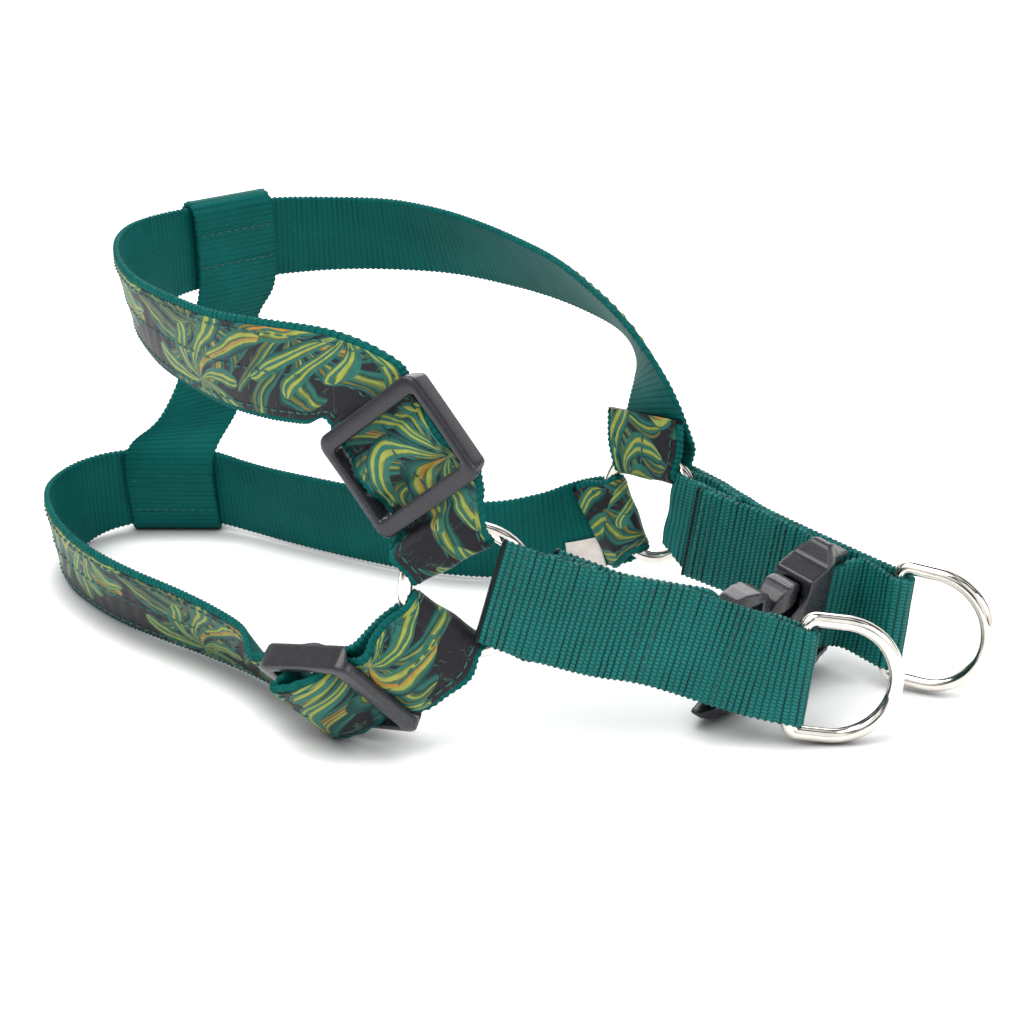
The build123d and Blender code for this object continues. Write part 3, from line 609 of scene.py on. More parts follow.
def strip(name, line, width, thick, offset, across, relief, sealed_and_shaded_ends=(False, False)):
    """A closed strip along a line. relief(line, v, n) gives lift and sideways spread."""
    v, n = section(width, thick, across)
    lift, spread = relief(line, v, n)
    scale = (line.width / WEB_WIDTH)[:, None]
    lift = lift + pleats(line, v)
    side = v[None, :] * scale + spread
    height = offset + n[None, :] + lift
    points = (line.centre[:, None, :] + line.up[:, None, :] * side[:, :, None]
              + line.out[:, None, :] * height[:, :, None])
    rings, around = side.shape
    s = np.repeat(line.s[:, None], around, axis=1)
    uv = np.stack([s, np.repeat(v[None, :], rings, axis=0)], axis=-1).reshape(-1, 2)
    # a near-black mark at each sealed end: the heat-sealed end's own colour, and painted shade for
    # the gap where the layer ends
    seal_and_shade = np.zeros_like(s)
    if sealed_and_shaded_ends[0]:
        seal_and_shade += np.exp(-(s / SEAL_SHADE_LENGTH) ** 4)
    if sealed_and_shaded_ends[1]:
        seal_and_shade += np.exp(-((line.s[-1] - s) / SEAL_SHADE_LENGTH) ** 4)
    return make_object(name, points.reshape(-1, 3), capped_tube(rings, around), uv,
                       [("seal_and_shade", seal_and_shade.ravel())])


def webbing(name, line, fine=False, sealed_and_shaded_ends=(False, False)):
    across = 26 if fine else 16
    return strip(name, line, WEB_WIDTH, WEB_THICK, 0.0, across,
                 lambda l, v, n: web_relief(l, v, n, fine), sealed_and_shaded_ends)


def print_strip(name, line):
    flat = WEB_WIDTH - 2 * RIBBON_INSET
    return strip(name, line, flat, PRINT_THICK, PRINT_OFFSET, 23,
                 lambda l, v, n: (print_relief(l, v, n), 0.0))


# ---------------- stitches

def stitch_points(start, end, normal):
    """One stitch: a short thread that dips into the cloth at both ends."""
    along = end - start
    side = unit(np.cross(normal, along))
    points = []
    for t in np.linspace(0, 1, STITCH_RINGS):
        radius = STITCH_R * math.sin(math.pi * (0.06 + 0.88 * t)) ** 0.5
        centre = start + along * t + normal * (STITCH_RISE * math.sin(math.pi * t) - STITCH_SINK)
        for a in np.arange(STITCH_AROUND) / STITCH_AROUND * 2 * math.pi:
            points.append(centre + (side * math.cos(a) + normal * math.sin(a)) * radius)
    return points


def stitches_object(name, list_of_stitches):
    """All the stitches of one seam as separate small closed threads in one piece."""
    points, faces = [], []
    for start, end, normal in list_of_stitches:
        faces += capped_tube(STITCH_RINGS, STITCH_AROUND, len(points))
        points += stitch_points(start, end, normal)
    return make_object(name, points, faces)


def seam_along(line, v, offset):
    """Stitches that run along a strap at v across it."""
    made = []
    s = STITCH_ENDS
    while s + STITCH_LENGTH < line.s[-1] - STITCH_ENDS:
        ends = []
        for at in (s, s + STITCH_LENGTH):
            i = int(np.searchsorted(line.s, at))
            point = line.centre[i] + line.up[i] * v * line.width[i] / WEB_WIDTH
            lift = pleats(line, np.array([v]))[i, 0]
            ends.append(point + line.out[i] * (offset + lift))
        i = int(np.searchsorted(line.s, s + STITCH_LENGTH / 2))
        made.append((ends[0], ends[1], line.out[i]))
        s += STITCH_LENGTH + STITCH_GAP
    return made


def seam_across(origin, along, up, normal):
    """Stitches in a column across a strap, centred on origin."""
    made = []
    for k in range(SEAM_COUNT):
        middle = origin + up * ((k / (SEAM_COUNT - 1) - 0.5) * SEAM_SPAN)
        lean = along * (SEAM_SLANT if k % 2 else -SEAM_SLANT)
        half = up * SEAM_STITCH / 2
        made.append((middle - half + lean, middle + half - lean, normal))
    return made


# ---------------- hardware

def frame_matrix(origin, x_dir, up):
    """Local (X, Y, Z) axes of a rigid piece as a 3x3 of rows, with its origin."""
    z = unit(up)
    x = unit(x_dir - z * np.dot(x_dir, z))
    y = np.cross(z, x)
    return np.array([x, y, z]), origin


def placed(points, place):
    axes, origin = place
    return np.asarray(points, float) @ axes + origin


def wire(name, path, radius, around=28):
    """A closed ring of round wire along a closed path of points."""
    path = np.asarray(path, float)
    run = np.roll(path, -1, axis=0) - np.roll(path, 1, axis=0)
    run /= np.linalg.norm(run, axis=1)[:, None]
    flat = unit(np.cross(path[len(path) // 4] - path[0], path[len(path) // 2] - path[0]))
    side = np.cross(run, flat)
    a = np.arange(around) / around * 2 * math.pi
    ring = (path[:, None, :] + side[:, None, :] * (radius * np.cos(a))[None, :, None]
            + flat[None, None, :] * (radius * np.sin(a))[None, :, None])
    return make_object(name, ring.reshape(-1, 3), tube_faces(len(path), around, True).tolist())


def o_ring(name, ring, axes):
    a = np.arange(160) / 160 * 2 * math.pi
    path = ring + O_RING_MID_R * (np.cos(a)[:, None] * axes[0] + np.sin(a)[:, None] * axes[1])
    return wire(name, path, O_RING_WIRE_R)


def arc_points(centre, radius, start, end, steps):
    a = np.radians(np.linspace(start, end, steps + 1))
    return np.column_stack([centre[0] + radius * np.cos(a), centre[1] + radius * np.sin(a)])


def d_ring(name, bar, up, out):
    """A wire D: straight bar on local Z, bow towards local X."""
    corner = (D_CORNER_R, D_HALF_H - D_CORNER_R)
    bow_x = D_DEPTH - D_HALF_H
    half = [arc_points(corner, D_CORNER_R, 180, 90, 8),
            np.array([[x, D_HALF_H] for x in np.linspace(D_CORNER_R, bow_x, 8)[1:]]),
            arc_points((bow_x, 0.0), D_HALF_H, 90, 0, 30)[1:]]
    upper = np.vstack([[[0.0, z] for z in np.linspace(0, corner[1], 10)[:-1]]] + half)
    lower = upper[::-1][1:-1] * [1, -1]
    flat = np.vstack([upper, lower])
    local = np.column_stack([flat[:, 0], np.zeros(len(flat)), flat[:, 1]])
    return wire(name, placed(local, frame_matrix(bar, out, up)), D_WIRE_R)


def rounded_outline(half_x, half_z, radius, corner_steps=8, side_steps=14):
    """Points round a rounded rectangle, the same count for any size."""
    arcs = []
    for sx, sz, start in ((1, 1, 0), (-1, 1, 90), (-1, -1, 180), (1, -1, 270)):
        centre = (sx * (half_x - radius), sz * (half_z - radius))
        arcs.append(arc_points(centre, radius, start, start + 90, corner_steps))
    points = []
    for arc, following in zip(arcs, arcs[1:] + arcs[:1]):
        points += arc.tolist()
        for t in np.arange(1, side_steps) / side_steps:
            points.append((arc[-1] + (following[0] - arc[-1]) * t).tolist())
    return np.array(points)


def slider(name, origin, run, up):
    """Tri-glide: a dished frame whose rails deepen to carry the middle bar."""
    half_l = SLIDER_LENGTH / 2
    half_w = SLIDER_WIDTH / 2
    outer = rounded_outline(half_l, half_w, SLIDER_CORNER_R)
    inner = rounded_outline(half_l - SLIDER_BAR, SLIDER_SLOT / 2, SLIDER_WINDOW_R)
    around = SLIDER_AROUND
    a = np.arange(around) / around * 2 * math.pi
    across = np.sign(np.cos(a)) * np.abs(np.cos(a)) ** SLIDER_SQUARENESS
    deep = np.sign(np.sin(a)) * np.abs(np.sin(a)) ** SLIDER_SQUARENESS
    rings = []
    for po, pi in zip(outer, inner):
        rail = np.clip((abs(po[1]) - (half_w - 1.2)) / 1.0, 0, 1)
        x = abs((po[0] + pi[0]) / 2)
        dip = rail * 0.5 * (1 + math.cos(math.pi * min(x / SLIDER_DIP_REACH, 1.0)))
        inward = np.clip(0.4 - across, 0, 1)
        bottom = SLIDER_LOW - SLIDER_RAIL_DROP * rail
        low = bottom + (SLIDER_MID_LOW - 0.2 - bottom) * dip * inward
        high = SLIDER_HIGH - 0.35 * (1 - min(x / half_l, 1.0)) - 0.3 * np.clip(across, 0, 1)
        flat = (po + pi) / 2 + (po - pi) / 2 * across[:, None]
        y = (low + high) / 2 + (high - low) / 2 * deep
        rings.append(np.column_stack([flat[:, 0], y, flat[:, 1]]))
    frame_faces = tube_faces(len(rings), around, True).tolist()
    base = len(rings) * around
    bar_end = SLIDER_SLOT / 2 + 0.3
    bar = np.linspace(-bar_end, bar_end, 60)
    for z in bar:
        grip = 0.1 * math.cos(2 * math.pi * z / SLIDER_GRIP_PITCH)
        x = across * (SLIDER_MID_BAR / 2 + grip)
        y = (SLIDER_MID_LOW + SLIDER_MID_HIGH) / 2 + deep * (1.0 + grip)
        rings.append(np.column_stack([x, y, np.full(around, z)]))
    points = np.array(rings).reshape(-1, 3)
    place = frame_matrix(origin, run, up)
    return make_object(name, placed(points, place),
                       frame_faces + capped_tube(len(bar), around, base))


# -- buckle solids are cut and joined in local millimetres, then remeshed to moulded edges

def prism(outline, low, high, axis="Y"):
    """A closed solid from an outline, drawn in XZ and run along Y, or in XY along Z."""
    points = []
    for level in (low, high):
        for a, b in outline:
            points.append((a, level, b) if axis == "Y" else (a, b, level))
    mesh = bpy.data.meshes.new("solid")
    mesh.from_pydata(points, [], capped_tube(2, len(outline)))
    tidy_normals(mesh)
    return add_object("solid", mesh)


def mirrored_outline(half):
    """Closes an outline, given on one side of its middle line, by mirroring it."""
    return list(half) + [(x, -z) for x, z in reversed(half) if z]


def webbing_bar(x, steps=32):
    """The round bar at x that the webbing goes round, let into both sides of its slot."""
    outline = arc_points((x, 0.0), BUCKLE_BAR_R, 0, 360 - 360 / steps, steps - 1)
    end = BUCKLE_SLOT / 2 + 1.0
    return prism(outline.tolist(), -end, end, "Z")


def block(x0, x1, half_z, half_y):
    corners = [(x0, -half_z), (x1, -half_z), (x1, half_z), (x0, half_z)]
    return prism(corners, -half_y, half_y)


def side_profile(half):
    """A slab that trims a moulding to its thickness along the buckle."""
    return prism(mirrored_outline(half), -20, 20, "Z")


def moulded(name, first, steps, place, voxel=0.34, rounding=5, shape=None):
    """Joins and cuts solids, remeshes the result and softens its edges."""
    for operation, solid in steps:
        cut = first.modifiers.new(operation, "BOOLEAN")
        cut.operation = operation
        cut.solver = "EXACT"
        cut.object = solid
    remesh = first.modifiers.new("remesh", "REMESH")
    remesh.mode = "VOXEL"
    remesh.voxel_size = voxel
    smooth = first.modifiers.new("smooth", "SMOOTH")
    smooth.factor = 0.5
    smooth.iterations = rounding
    graph = bpy.context.evaluated_depsgraph_get()
    mesh = bpy.data.meshes.new_from_object(first.evaluated_get(graph))
    for solid in [first] + [s for _, s in steps]:
        bpy.data.objects.remove(solid)
    points = np.zeros(len(mesh.vertices) * 3)
    mesh.vertices.foreach_get("co", points)
    points = points.reshape(-1, 3)
    if shape is not None:
        points = shape(points)
    metres = (placed(points, place) + FRAME_SHIFT) * MM
    mesh.vertices.foreach_set("co", metres.ravel())
    mesh.name = name
    mesh.update()
    tidy_normals(mesh)
    mesh.shade_smooth()
    return add_object(name, mesh)


BUCKLE_PLACE = frame_matrix(PLUG_BAR, BUCKLE_AXIS, BUCKLE_UP)


def plug_body():
    """Webbing bar in a slot, a winged base and the guide tongue."""
    w = BUCKLE_HALF_W
    wing = [(-8.0, 0.0), (-8.0, 14.2), (-6.5, 15.4), (-2.0, w + 0.3), (2.0, w + 0.5), (6.0, w - 0.2),
            (9.4, 14.6), (11.4, 12.2), (12.4, 10.4), (12.4, 0.0)]
    body = prism(mirrored_outline(wing), -6, 6)
    lens = [(-8.4, -1.0), (-4.0, -2.3), (1.0, -3.1), (5.5, -3.5), (9.0, -3.2), (13.0, -2.3)]
    slot = block(-12.0, 7.2, BUCKLE_SLOT / 2, 8)
    bar = webbing_bar(0.0)
    guide = [(11.0, -3.0), (14.0, -2.0), (29.0, -2.0), (30.0, -1.2)]
    tongue = prism(mirrored_outline(guide), -1.5, 1.5)
    steps = [("INTERSECT", side_profile(lens)), ("DIFFERENCE", slot),
             ("UNION", bar), ("UNION", tongue)]
    return moulded("plug_body", body, steps, BUCKLE_PLACE)


def plug_arm(name, side):
    """One spring arm: slim root, domed grip with faint ribs, and a hooked catch."""
    outline = [(12.5, 5.6), (16.0, 6.9), (22.0, 7.4), (28.0, 6.4), (30.4, 7.6),
               (30.4, 10.2), (28.6, 12.2), (26.0, 13.0), (25.2, 11.0), (23.8, 10.6),
               (22.9, 11.8), (21.6, 13.0), (19.6, 13.6), (17.2, 13.4), (15.2, 12.4),
               (13.6, 10.6), (12.5, 8.4)]
    body = prism([(x, side * z) for x, z in outline], -6, 6)
    swell = [(x, 2.2 + 1.6 * math.sin(math.pi * (x - 12.0) / 11.4)) for x in
             np.linspace(12.0, 23.2, 15).tolist()] + [(24.0, 2.1), (31.0, 2.0)]
    profile = [(x, -y) for x, y in swell]

    def ribbed(points):
        on_grip = (points[:, 0] > 13.5) & (points[:, 0] < 22.0)
        on_grip &= side * points[:, 2] > 9.5
        wave = 0.03 * np.cos(2 * math.pi * points[:, 1] / 0.9)
        points[:, 2] += side * np.where(on_grip, wave, 0.0)
        return points

    steps = [("INTERSECT", side_profile(profile))]
    return moulded(name, body, steps, BUCKLE_PLACE, voxel=0.28, rounding=9, shape=ribbed)


def socket_body():
    """Receiver with scooped plates, open sides for the catches and a webbing bar."""
    w = BUCKLE_HALF_W - 0.3
    scoop = arc_points((16.6, 12.2), 6.6, -70, 6, 12)
    upper = [(18.6, 0.0), (18.6, 5.6)] + scoop[1:].tolist()
    upper += [(23.6, w - 2.3), (29.6, w - 0.6), (31.8, w + 3.0), (33.0, w + 3.5), (34.8, w + 2.8),
              (36.6, w + 0.4), (38.4, w - 0.9), (SOCKET_END, w - 1.5)]
    lower = [(x, -min(z, w + 1.6)) for x, z in reversed(upper) if z > 0]
    body = prism(upper + lower, -7, 7)
    thick = [(18.0, -4.8), (22.5, -5.5), (30.5, -5.5), (33.0, -4.8), (35.0, -3.6), (38.5, -2.9),
             (43.0, -2.3)]
    cavity = block(16.0, 31.5, 12.0, 2.8)
    window = block(24.6, 31.0, 13.2, 2.8)
    mouth_gap = block(14.0, 23.2, 20.0, 4.1)
    slot = block(34.8, 46.0, BUCKLE_SLOT / 2, 8)
    bar = webbing_bar(BUCKLE_BAR_SPAN)
    steps = [("INTERSECT", side_profile(thick)), ("DIFFERENCE", cavity),
             ("DIFFERENCE", window), ("DIFFERENCE", mouth_gap), ("DIFFERENCE", slot),
             ("UNION", bar)]

    def tapered(points):
        over = np.clip((np.abs(points[:, 2]) - (w - 0.6)) / 4.2, 0, 1)
        points[:, 1] *= 1 - 0.5 * over
        return points

    return moulded("socket_body", body, steps, BUCKLE_PLACE, shape=tapered)


# ---------------- procedural fields

class Field:
    """A value that varies over a surface. Arithmetic on it adds Math nodes."""

    def __init__(self, tree, socket):
        self.tree = tree
        self.socket = socket

    def math(self, operation, *others):
        node = self.tree.nodes.new("ShaderNodeMath")
        node.operation = operation
        for place, value in zip(node.inputs, (self,) + others):
            if isinstance(value, Field):
                self.tree.links.new(value.socket, place)
            else:
                place.default_value = value
        return Field(self.tree, node.outputs[0])

    def __add__(self, other):
        return self.math("ADD", other)

    def __sub__(self, other):
        return self.math("SUBTRACT", other)

    def __mul__(self, other):
        return self.math("MULTIPLY", other)

    def wave(self, pitch):
        """1 on crests a pitch apart, 0 between them."""
        return (self * (2 * math.pi / pitch)).math("COSINE") * 0.5 + 0.5

    def rise(self, low, high):
        """0 below low, 1 above high, smooth between."""
        node = self.tree.nodes.new("ShaderNodeMapRange")
        node.interpolation_type = "SMOOTHSTEP"
        node.inputs["From Min"].default_value = low
        node.inputs["From Max"].default_value = high
        self.tree.links.new(self.socket, node.inputs["Value"])
        return Field(self.tree, node.outputs[0])


class Surface:
    """One material under construction: its Principled shader and the fields on it."""

    def __init__(self, name, roughness, metallic=0.0, specular=0.5, sheen=0.0):
        self.material = bpy.data.materials.new(name)
        self.material.use_nodes = True
        self.tree = self.material.node_tree
        self.shader = self.tree.nodes["Principled BSDF"]
        self.shader.inputs["Roughness"].default_value = roughness
        self.shader.inputs["Metallic"].default_value = metallic
        self.shader.inputs["Specular IOR Level"].default_value = specular
        self.shader.inputs["Sheen Weight"].default_value = sheen

    def node(self, kind):
        return self.tree.nodes.new("ShaderNode" + kind)

    def link(self, source, place):
        self.tree.links.new(source, place)

    def field(self, socket):
        return Field(self.tree, socket)

    def strap_place(self):
        """Millimetres along and across the strap."""
        node = self.node("UVMap")
        node.uv_map = "strap"
        parts = self.node("SeparateXYZ")
        self.link(node.outputs[0], parts.inputs[0])
        return self.field(parts.outputs[0]), self.field(parts.outputs[1])

    def attribute(self, name):
        node = self.node("Attribute")
        node.attribute_name = name
        return self.field(node.outputs["Fac"])

    def place(self, scale):
        """Object coordinates in units of `scale` millimetres."""
        node = self.node("TexCoord")
        mapping = self.node("Mapping")
        mapping.inputs["Scale"].default_value = (1000.0 / scale,) * 3
        self.link(node.outputs["Object"], mapping.inputs[0])
        return mapping.outputs[0]

    def flat_place(self, x, y):
        node = self.node("CombineXYZ")
        self.link(x.socket, node.inputs[0])
        self.link(y.socket, node.inputs[1])
        return node.outputs[0]

    def noise(self, place, detail=3.0, roughness=0.55, scale=1.0):
        node = self.node("TexNoise")
        node.inputs["Scale"].default_value = scale
        node.inputs["Detail"].default_value = detail
        node.inputs["Roughness"].default_value = roughness
        self.link(place, node.inputs["Vector"])
        return self.field(node.outputs["Fac"])

    def ramp(self, field, stops):
        node = self.node("ValToRGB")
        ramp = node.color_ramp
        while len(ramp.elements) < len(stops):
            ramp.elements.new(0.5)
        for element, (at, colour) in zip(ramp.elements, stops):
            element.position = at
            element.color = (*colour, 1.0)
        self.link(field.socket, node.inputs[0])
        return node.outputs[0]

    def mix(self, factor, first, second):
        node = self.node("Mix")
        node.data_type = "RGBA"
        self.link(factor.socket, node.inputs["Factor"])
        for value, place in ((first, node.inputs[6]), (second, node.inputs[7])):
            if isinstance(value, tuple):
                place.default_value = (*value, 1.0)
            else:
                self.link(value, place)
        return node.outputs[2]

    def colour(self, socket):
        self.link(socket, self.shader.inputs["Base Color"])

    def roughness(self, field):
        self.link(field.socket, self.shader.inputs["Roughness"])

    def bump(self, height, distance, strength=1.0):
        """Relief of `distance` millimetres from a height between 0 and 1."""
        node = self.node("Bump")
        node.inputs["Strength"].default_value = strength
        node.inputs["Distance"].default_value = distance * MM
        self.link(height.socket, node.inputs["Height"])
        self.link(node.outputs[0], self.shader.inputs["Normal"])


def linear(r, g, b):
    """sRGB bytes to the shader's linear colour."""
    return tuple((c / 255 / 12.92) if c / 255 < 0.04045 else ((c / 255 + 0.055) / 1.055) ** 2.4
                 for c in (r, g, b))


def webbing_material(name, contrast, shine, shade):
    """Nylon webbing: flat ribs across, short floats in each rib, painted shade in the slits between
    and painted highlight on the crests.
    """
    look = Surface(name, 0.5, specular=shine)
    along, across = look.strap_place()
    wander = look.noise(look.flat_place(along * 0.12, across * 0.5), 2.0) - 0.5
    s = along + wander * 0.35
    slit = (s.wave(RIB_PITCH) * -1.0 + 1.0).math("POWER", 4.0)
    parity = (s * (1 / RIB_PITCH)).math("ROUND") * 0.5
    dash = (across + parity * DASH_PITCH + s * (0.22 * DASH_PITCH / RIB_PITCH)).wave(DASH_PITCH)
    yarn = look.noise(look.flat_place(along * 0.6, across * 6.0), 2.0, scale=1.0)
    deep = look.noise(look.flat_place((s * (1 / RIB_PITCH)).math("FLOOR"), across * 0.02), 0.0)
    slit = slit * (deep.rise(0.3, 0.7) * 0.75 + 0.25)
    height = (slit * -1.0 + 1.0) * (dash * 0.42 + 0.58)
    patch = look.noise(look.flat_place(along * 0.035, across * 0.06), 3.0)
    # painted light and shade: the colour follows the rib height, darker in the slits and lighter on
    # the crests; yarn and patch add random tone, and shade lifts or lowers it all
    tone = (height - 0.70) * (0.85 * contrast) + yarn * 0.2 + patch * 0.3 + shade
    cloth = look.ramp(tone, [(0.0, linear(2, 26, 28)), (0.2, linear(5, 56, 55)),
                             (0.5, linear(8, 86, 82)), (0.8, linear(20, 112, 106)),
                             (1.0, linear(56, 158, 146))])
    # sealed ends go near-black: partly the heat-sealed nylon's own colour, partly painted shade for
    # the gap where the layer ends
    sealed_and_shaded_ends = look.attribute("seal_and_shade").rise(0.1, 0.9)
    look.colour(look.mix(sealed_and_shaded_ends, cloth, linear(3, 22, 24)))
    look.roughness(height.rise(0.0, 1.0) * -0.12 + 0.62 - sealed_and_shaded_ends * 0.3)
    look.bump(height * (0.4 + 0.4 * contrast) + yarn * 0.2, 0.2)
    return look.material


CHARCOAL = linear(28, 26, 33)
TEAL = linear(38, 104, 94)
DEEP_TEAL = linear(14, 58, 58)
LIME = linear(150, 160, 76)
OLIVE = linear(74, 92, 48)
GOLD = linear(128, 112, 48)
ORANGE = linear(176, 126, 46)


def leaf_layer(look, along, across, size, turn, blades, ramp_stops):
    """Fans of curved leaf blades along the strap: colour, cover and midribs."""
    wobble = look.noise(look.flat_place(along * 0.09 + turn, across * 0.09), 1.0) - 0.5
    sway = (across * 0.2 + turn * 2.0).math("SINE") * 0.16
    cell = along * (1 / size) + turn + sway * 0.7
    number = cell.math("FLOOR")
    chance = look.node("TexWhiteNoise")
    chance.noise_dimensions = "1D"
    look.link((number + turn).socket, chance.inputs["W"])
    random = look.node("SeparateColor")
    look.link(chance.outputs["Color"], random.inputs[0])
    first, second, third = (look.field(random.outputs[k]) for k in range(3))
    dx = (cell - number - 0.35 - first * 0.3) * size
    dy = across - (second.rise(0.49, 0.51) * 2.0 - 1.0) * (third * 6.0 + 7.0)
    reach = (dx * dx + dy * dy).math("SQRT")
    twist = (first - 0.5) * 0.16
    turned = dy.math("ARCTAN2", dx) * (blades / (2 * math.pi))
    turned = turned + reach * twist + wobble * 0.5 + first * 3.0 + 40.0
    blade_number = turned.math("FLOOR")
    share = turned - blade_number - 0.5
    blade = look.node("TexWhiteNoise")
    blade.noise_dimensions = "2D"
    look.link(look.flat_place(blade_number, number * 3.0 + turn), blade.inputs["Vector"])
    luck = look.field(blade.outputs["Value"])
    tip = (luck * 0.22 + 0.42) * size
    taper = (reach.math("DIVIDE", tip)).math("POWER", 4.0) * -1.0 + 1.0
    half = taper.math("MAXIMUM", 0.0).math("SQRT") * (luck * 0.08 + 0.36)
    side = share.math("DIVIDE", half + 0.001) * 0.5
    streak = look.noise(look.flat_place(turned * 6.0, reach * 0.09), 3.0, 0.6) - 0.5
    stripes = look.ramp(side + 0.5 + streak * 0.34 + (luck - 0.5) * 0.2, ramp_stops)
    cover = side.math("ABSOLUTE").rise(0.5, 0.46)
    midrib = (side.math("ABSOLUTE") * half * reach).rise(0.34, 0.20)
    midrib = midrib * luck.rise(0.84, 0.86) * cover * reach.rise(1.0, 3.0)
    return stripes, cover, midrib


def print_material():
    """Satin-faced ribbon with a generic leaf pattern and a fine weave."""
    look = Surface("leaf_print", 0.55, specular=0.22, sheen=0.04)
    along, across = look.strap_place()
    under_stops = [(0.0, DEEP_TEAL), (0.14, TEAL), (0.26, DEEP_TEAL), (0.34, OLIVE),
                   (0.42, LIME), (0.50, OLIVE), (0.56, TEAL), (0.64, DEEP_TEAL),
                   (0.70, OLIVE), (0.78, GOLD), (0.84, DEEP_TEAL), (0.92, TEAL),
                   (1.0, DEEP_TEAL)]
    over_stops = [(0.0, TEAL), (0.20, TEAL), (0.26, OLIVE), (0.32, LIME), (0.44, LIME),
                  (0.48, OLIVE), (0.52, TEAL), (0.62, TEAL), (0.66, LIME), (0.74, LIME),
                  (0.78, OLIVE), (0.84, TEAL), (1.0, DEEP_TEAL)]
    drift = look.noise(look.flat_place(along * 0.07, across * 0.09), 2.0)
    grass = look.noise(look.flat_place(along * 0.9 + drift * 9.0, across * 0.16), 3.0, 0.6)
    ground = look.ramp(grass, [(0.0, CHARCOAL), (0.60, CHARCOAL), (0.63, DEEP_TEAL),
                               (0.66, OLIVE), (0.68, CHARCOAL), (1.0, CHARCOAL)])
    layers = ((43.0, 0.37, 10.0, under_stops), (37.0, 9.14, 9.0, over_stops))
    for size, turn, blades, stops in layers:
        blade, cover, rib = leaf_layer(look, along, across, size, turn, blades, stops)
        ground = look.mix(cover, ground, blade)
        ground = look.mix(rib, ground, ORANGE)
    grain = look.noise(look.flat_place(along * 5.0, across * 5.0), 2.0)
    brush = look.noise(look.flat_place(along * 0.5, across * 0.5), 4.0)
    shade = (grain * 0.35 + brush * 0.65).rise(0.25, 0.75)
    darker = look.node("Mix")
    darker.data_type = "RGBA"
    darker.blend_type = "MULTIPLY"
    darker.inputs["Factor"].default_value = 0.7
    tone = look.ramp(shade, [(0.0, (0.5, 0.56, 0.56)), (1.0, (1.15, 1.1, 1.05))])
    look.link(ground, darker.inputs[6])
    look.link(tone, darker.inputs[7])
    look.colour(darker.outputs[2])
    weave = along.wave(0.32) * 0.5 + across.wave(0.32) * 0.5
    look.roughness(grain * 0.2 + 0.45)
    look.bump(weave * 0.6 + grain * 0.4, 0.05)
    return look.material


def thread_material():
    look = Surface("polyester_thread", 0.45, specular=0.4, sheen=0.1)
    grain = look.noise(look.place(0.5), 2.0)
    look.colour(look.ramp(grain, [(0.3, linear(6, 54, 54)), (0.7, linear(20, 100, 94))]))
    look.roughness(grain * 0.3 + 0.35)
    look.bump(grain, 0.08)
    return look.material


def plastic_material():
    """Acetal moulding: dark slate, fine grain, rubbed a little lighter."""
    look = Surface("satin_acetal", 0.4, specular=0.5)
    grain = look.noise(look.place(0.35), 2.0)
    cloud = look.noise(look.place(9.0), 3.0)
    rub = look.noise(look.place(2.2), 4.0, 0.7)
    tone = cloud * 0.5 + rub * 0.5
    look.colour(look.ramp(tone, [(0.3, (0.014, 0.014, 0.018)), (0.6, (0.020, 0.020, 0.026)),
                                 (0.8, (0.032, 0.032, 0.040))]))
    look.roughness(grain * 0.12 + rub * 0.12 + 0.16)
    look.bump(grain * 0.7 + rub * 0.3, 0.035)
    return look.material


def nickel_material():
    """Bright nickel plate with faint scratches and a little haze."""
    look = Surface("bright_nickel", 0.1, metallic=1.0)
    haze = look.noise(look.place(6.0), 3.0)
    marks = look.noise(look.place(0.7), 4.0, 0.7)
    look.colour(look.ramp(haze, [(0.3, (0.70, 0.66, 0.60)), (0.7, (0.84, 0.80, 0.74))]))
    look.roughness(haze * 0.08 + marks * 0.05 + 0.02)
    look.bump(marks, 0.006)
    return look.material


def label_material():
    look = Surface("satin_label", 0.4, specular=0.4, sheen=0.2)
    along, across = look.strap_place()
    weave = along.wave(0.3) * 0.5 + across.wave(0.24) * 0.5
    fade = look.noise(look.flat_place(along * 0.3, across * 0.3), 2.0)
    look.colour(look.ramp(fade, [(0.3, linear(214, 200, 196)), (0.7, linear(232, 224, 214))]))
    look.roughness(weave * 0.2 + 0.35)
    look.bump(weave, 0.05)
    return look.material


# ---------------- building

def dress(piece, material, body=None, replaces=()):
    """Gives a piece its material, the CAD nodes it replaces and its body."""
    piece.data.materials.clear()
    piece.data.materials.append(material)
    if replaces:
        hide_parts(*replaces)
    if body:
        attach(piece, body)
    return piece


def bend(piece):
    """Bakes a piece's transform into its mesh."""
    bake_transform(piece)


def build_loop(label, line, cloth, printed, thread):
    web = webbing(f"{label}_strap", line, sealed_and_shaded_ends=(True, True))
    web_nodes = [f"{label}_webbing", f"{label}_webbing_far_end"]
    dress(web, cloth, replaces=web_nodes)
    bend(web)
    ribbon = print_strip(f"{label}_leaf_ribbon", line)
    print_nodes = [f"{label}_print_ribbon", f"{label}_print_far_end"]
    dress(ribbon, printed, replaces=print_nodes)
    bend(ribbon)
    lift = PRINT_OFFSET + PRINT_THICK / 2
    sewn = []
    for v in (-STITCH_V, 0.0, STITCH_V):
        sewn += seam_along(line, v, lift)
    seam = stitches_object(f"{label}_ribbon_stitching", sewn)
    dress(seam, thread)
    bend(seam)


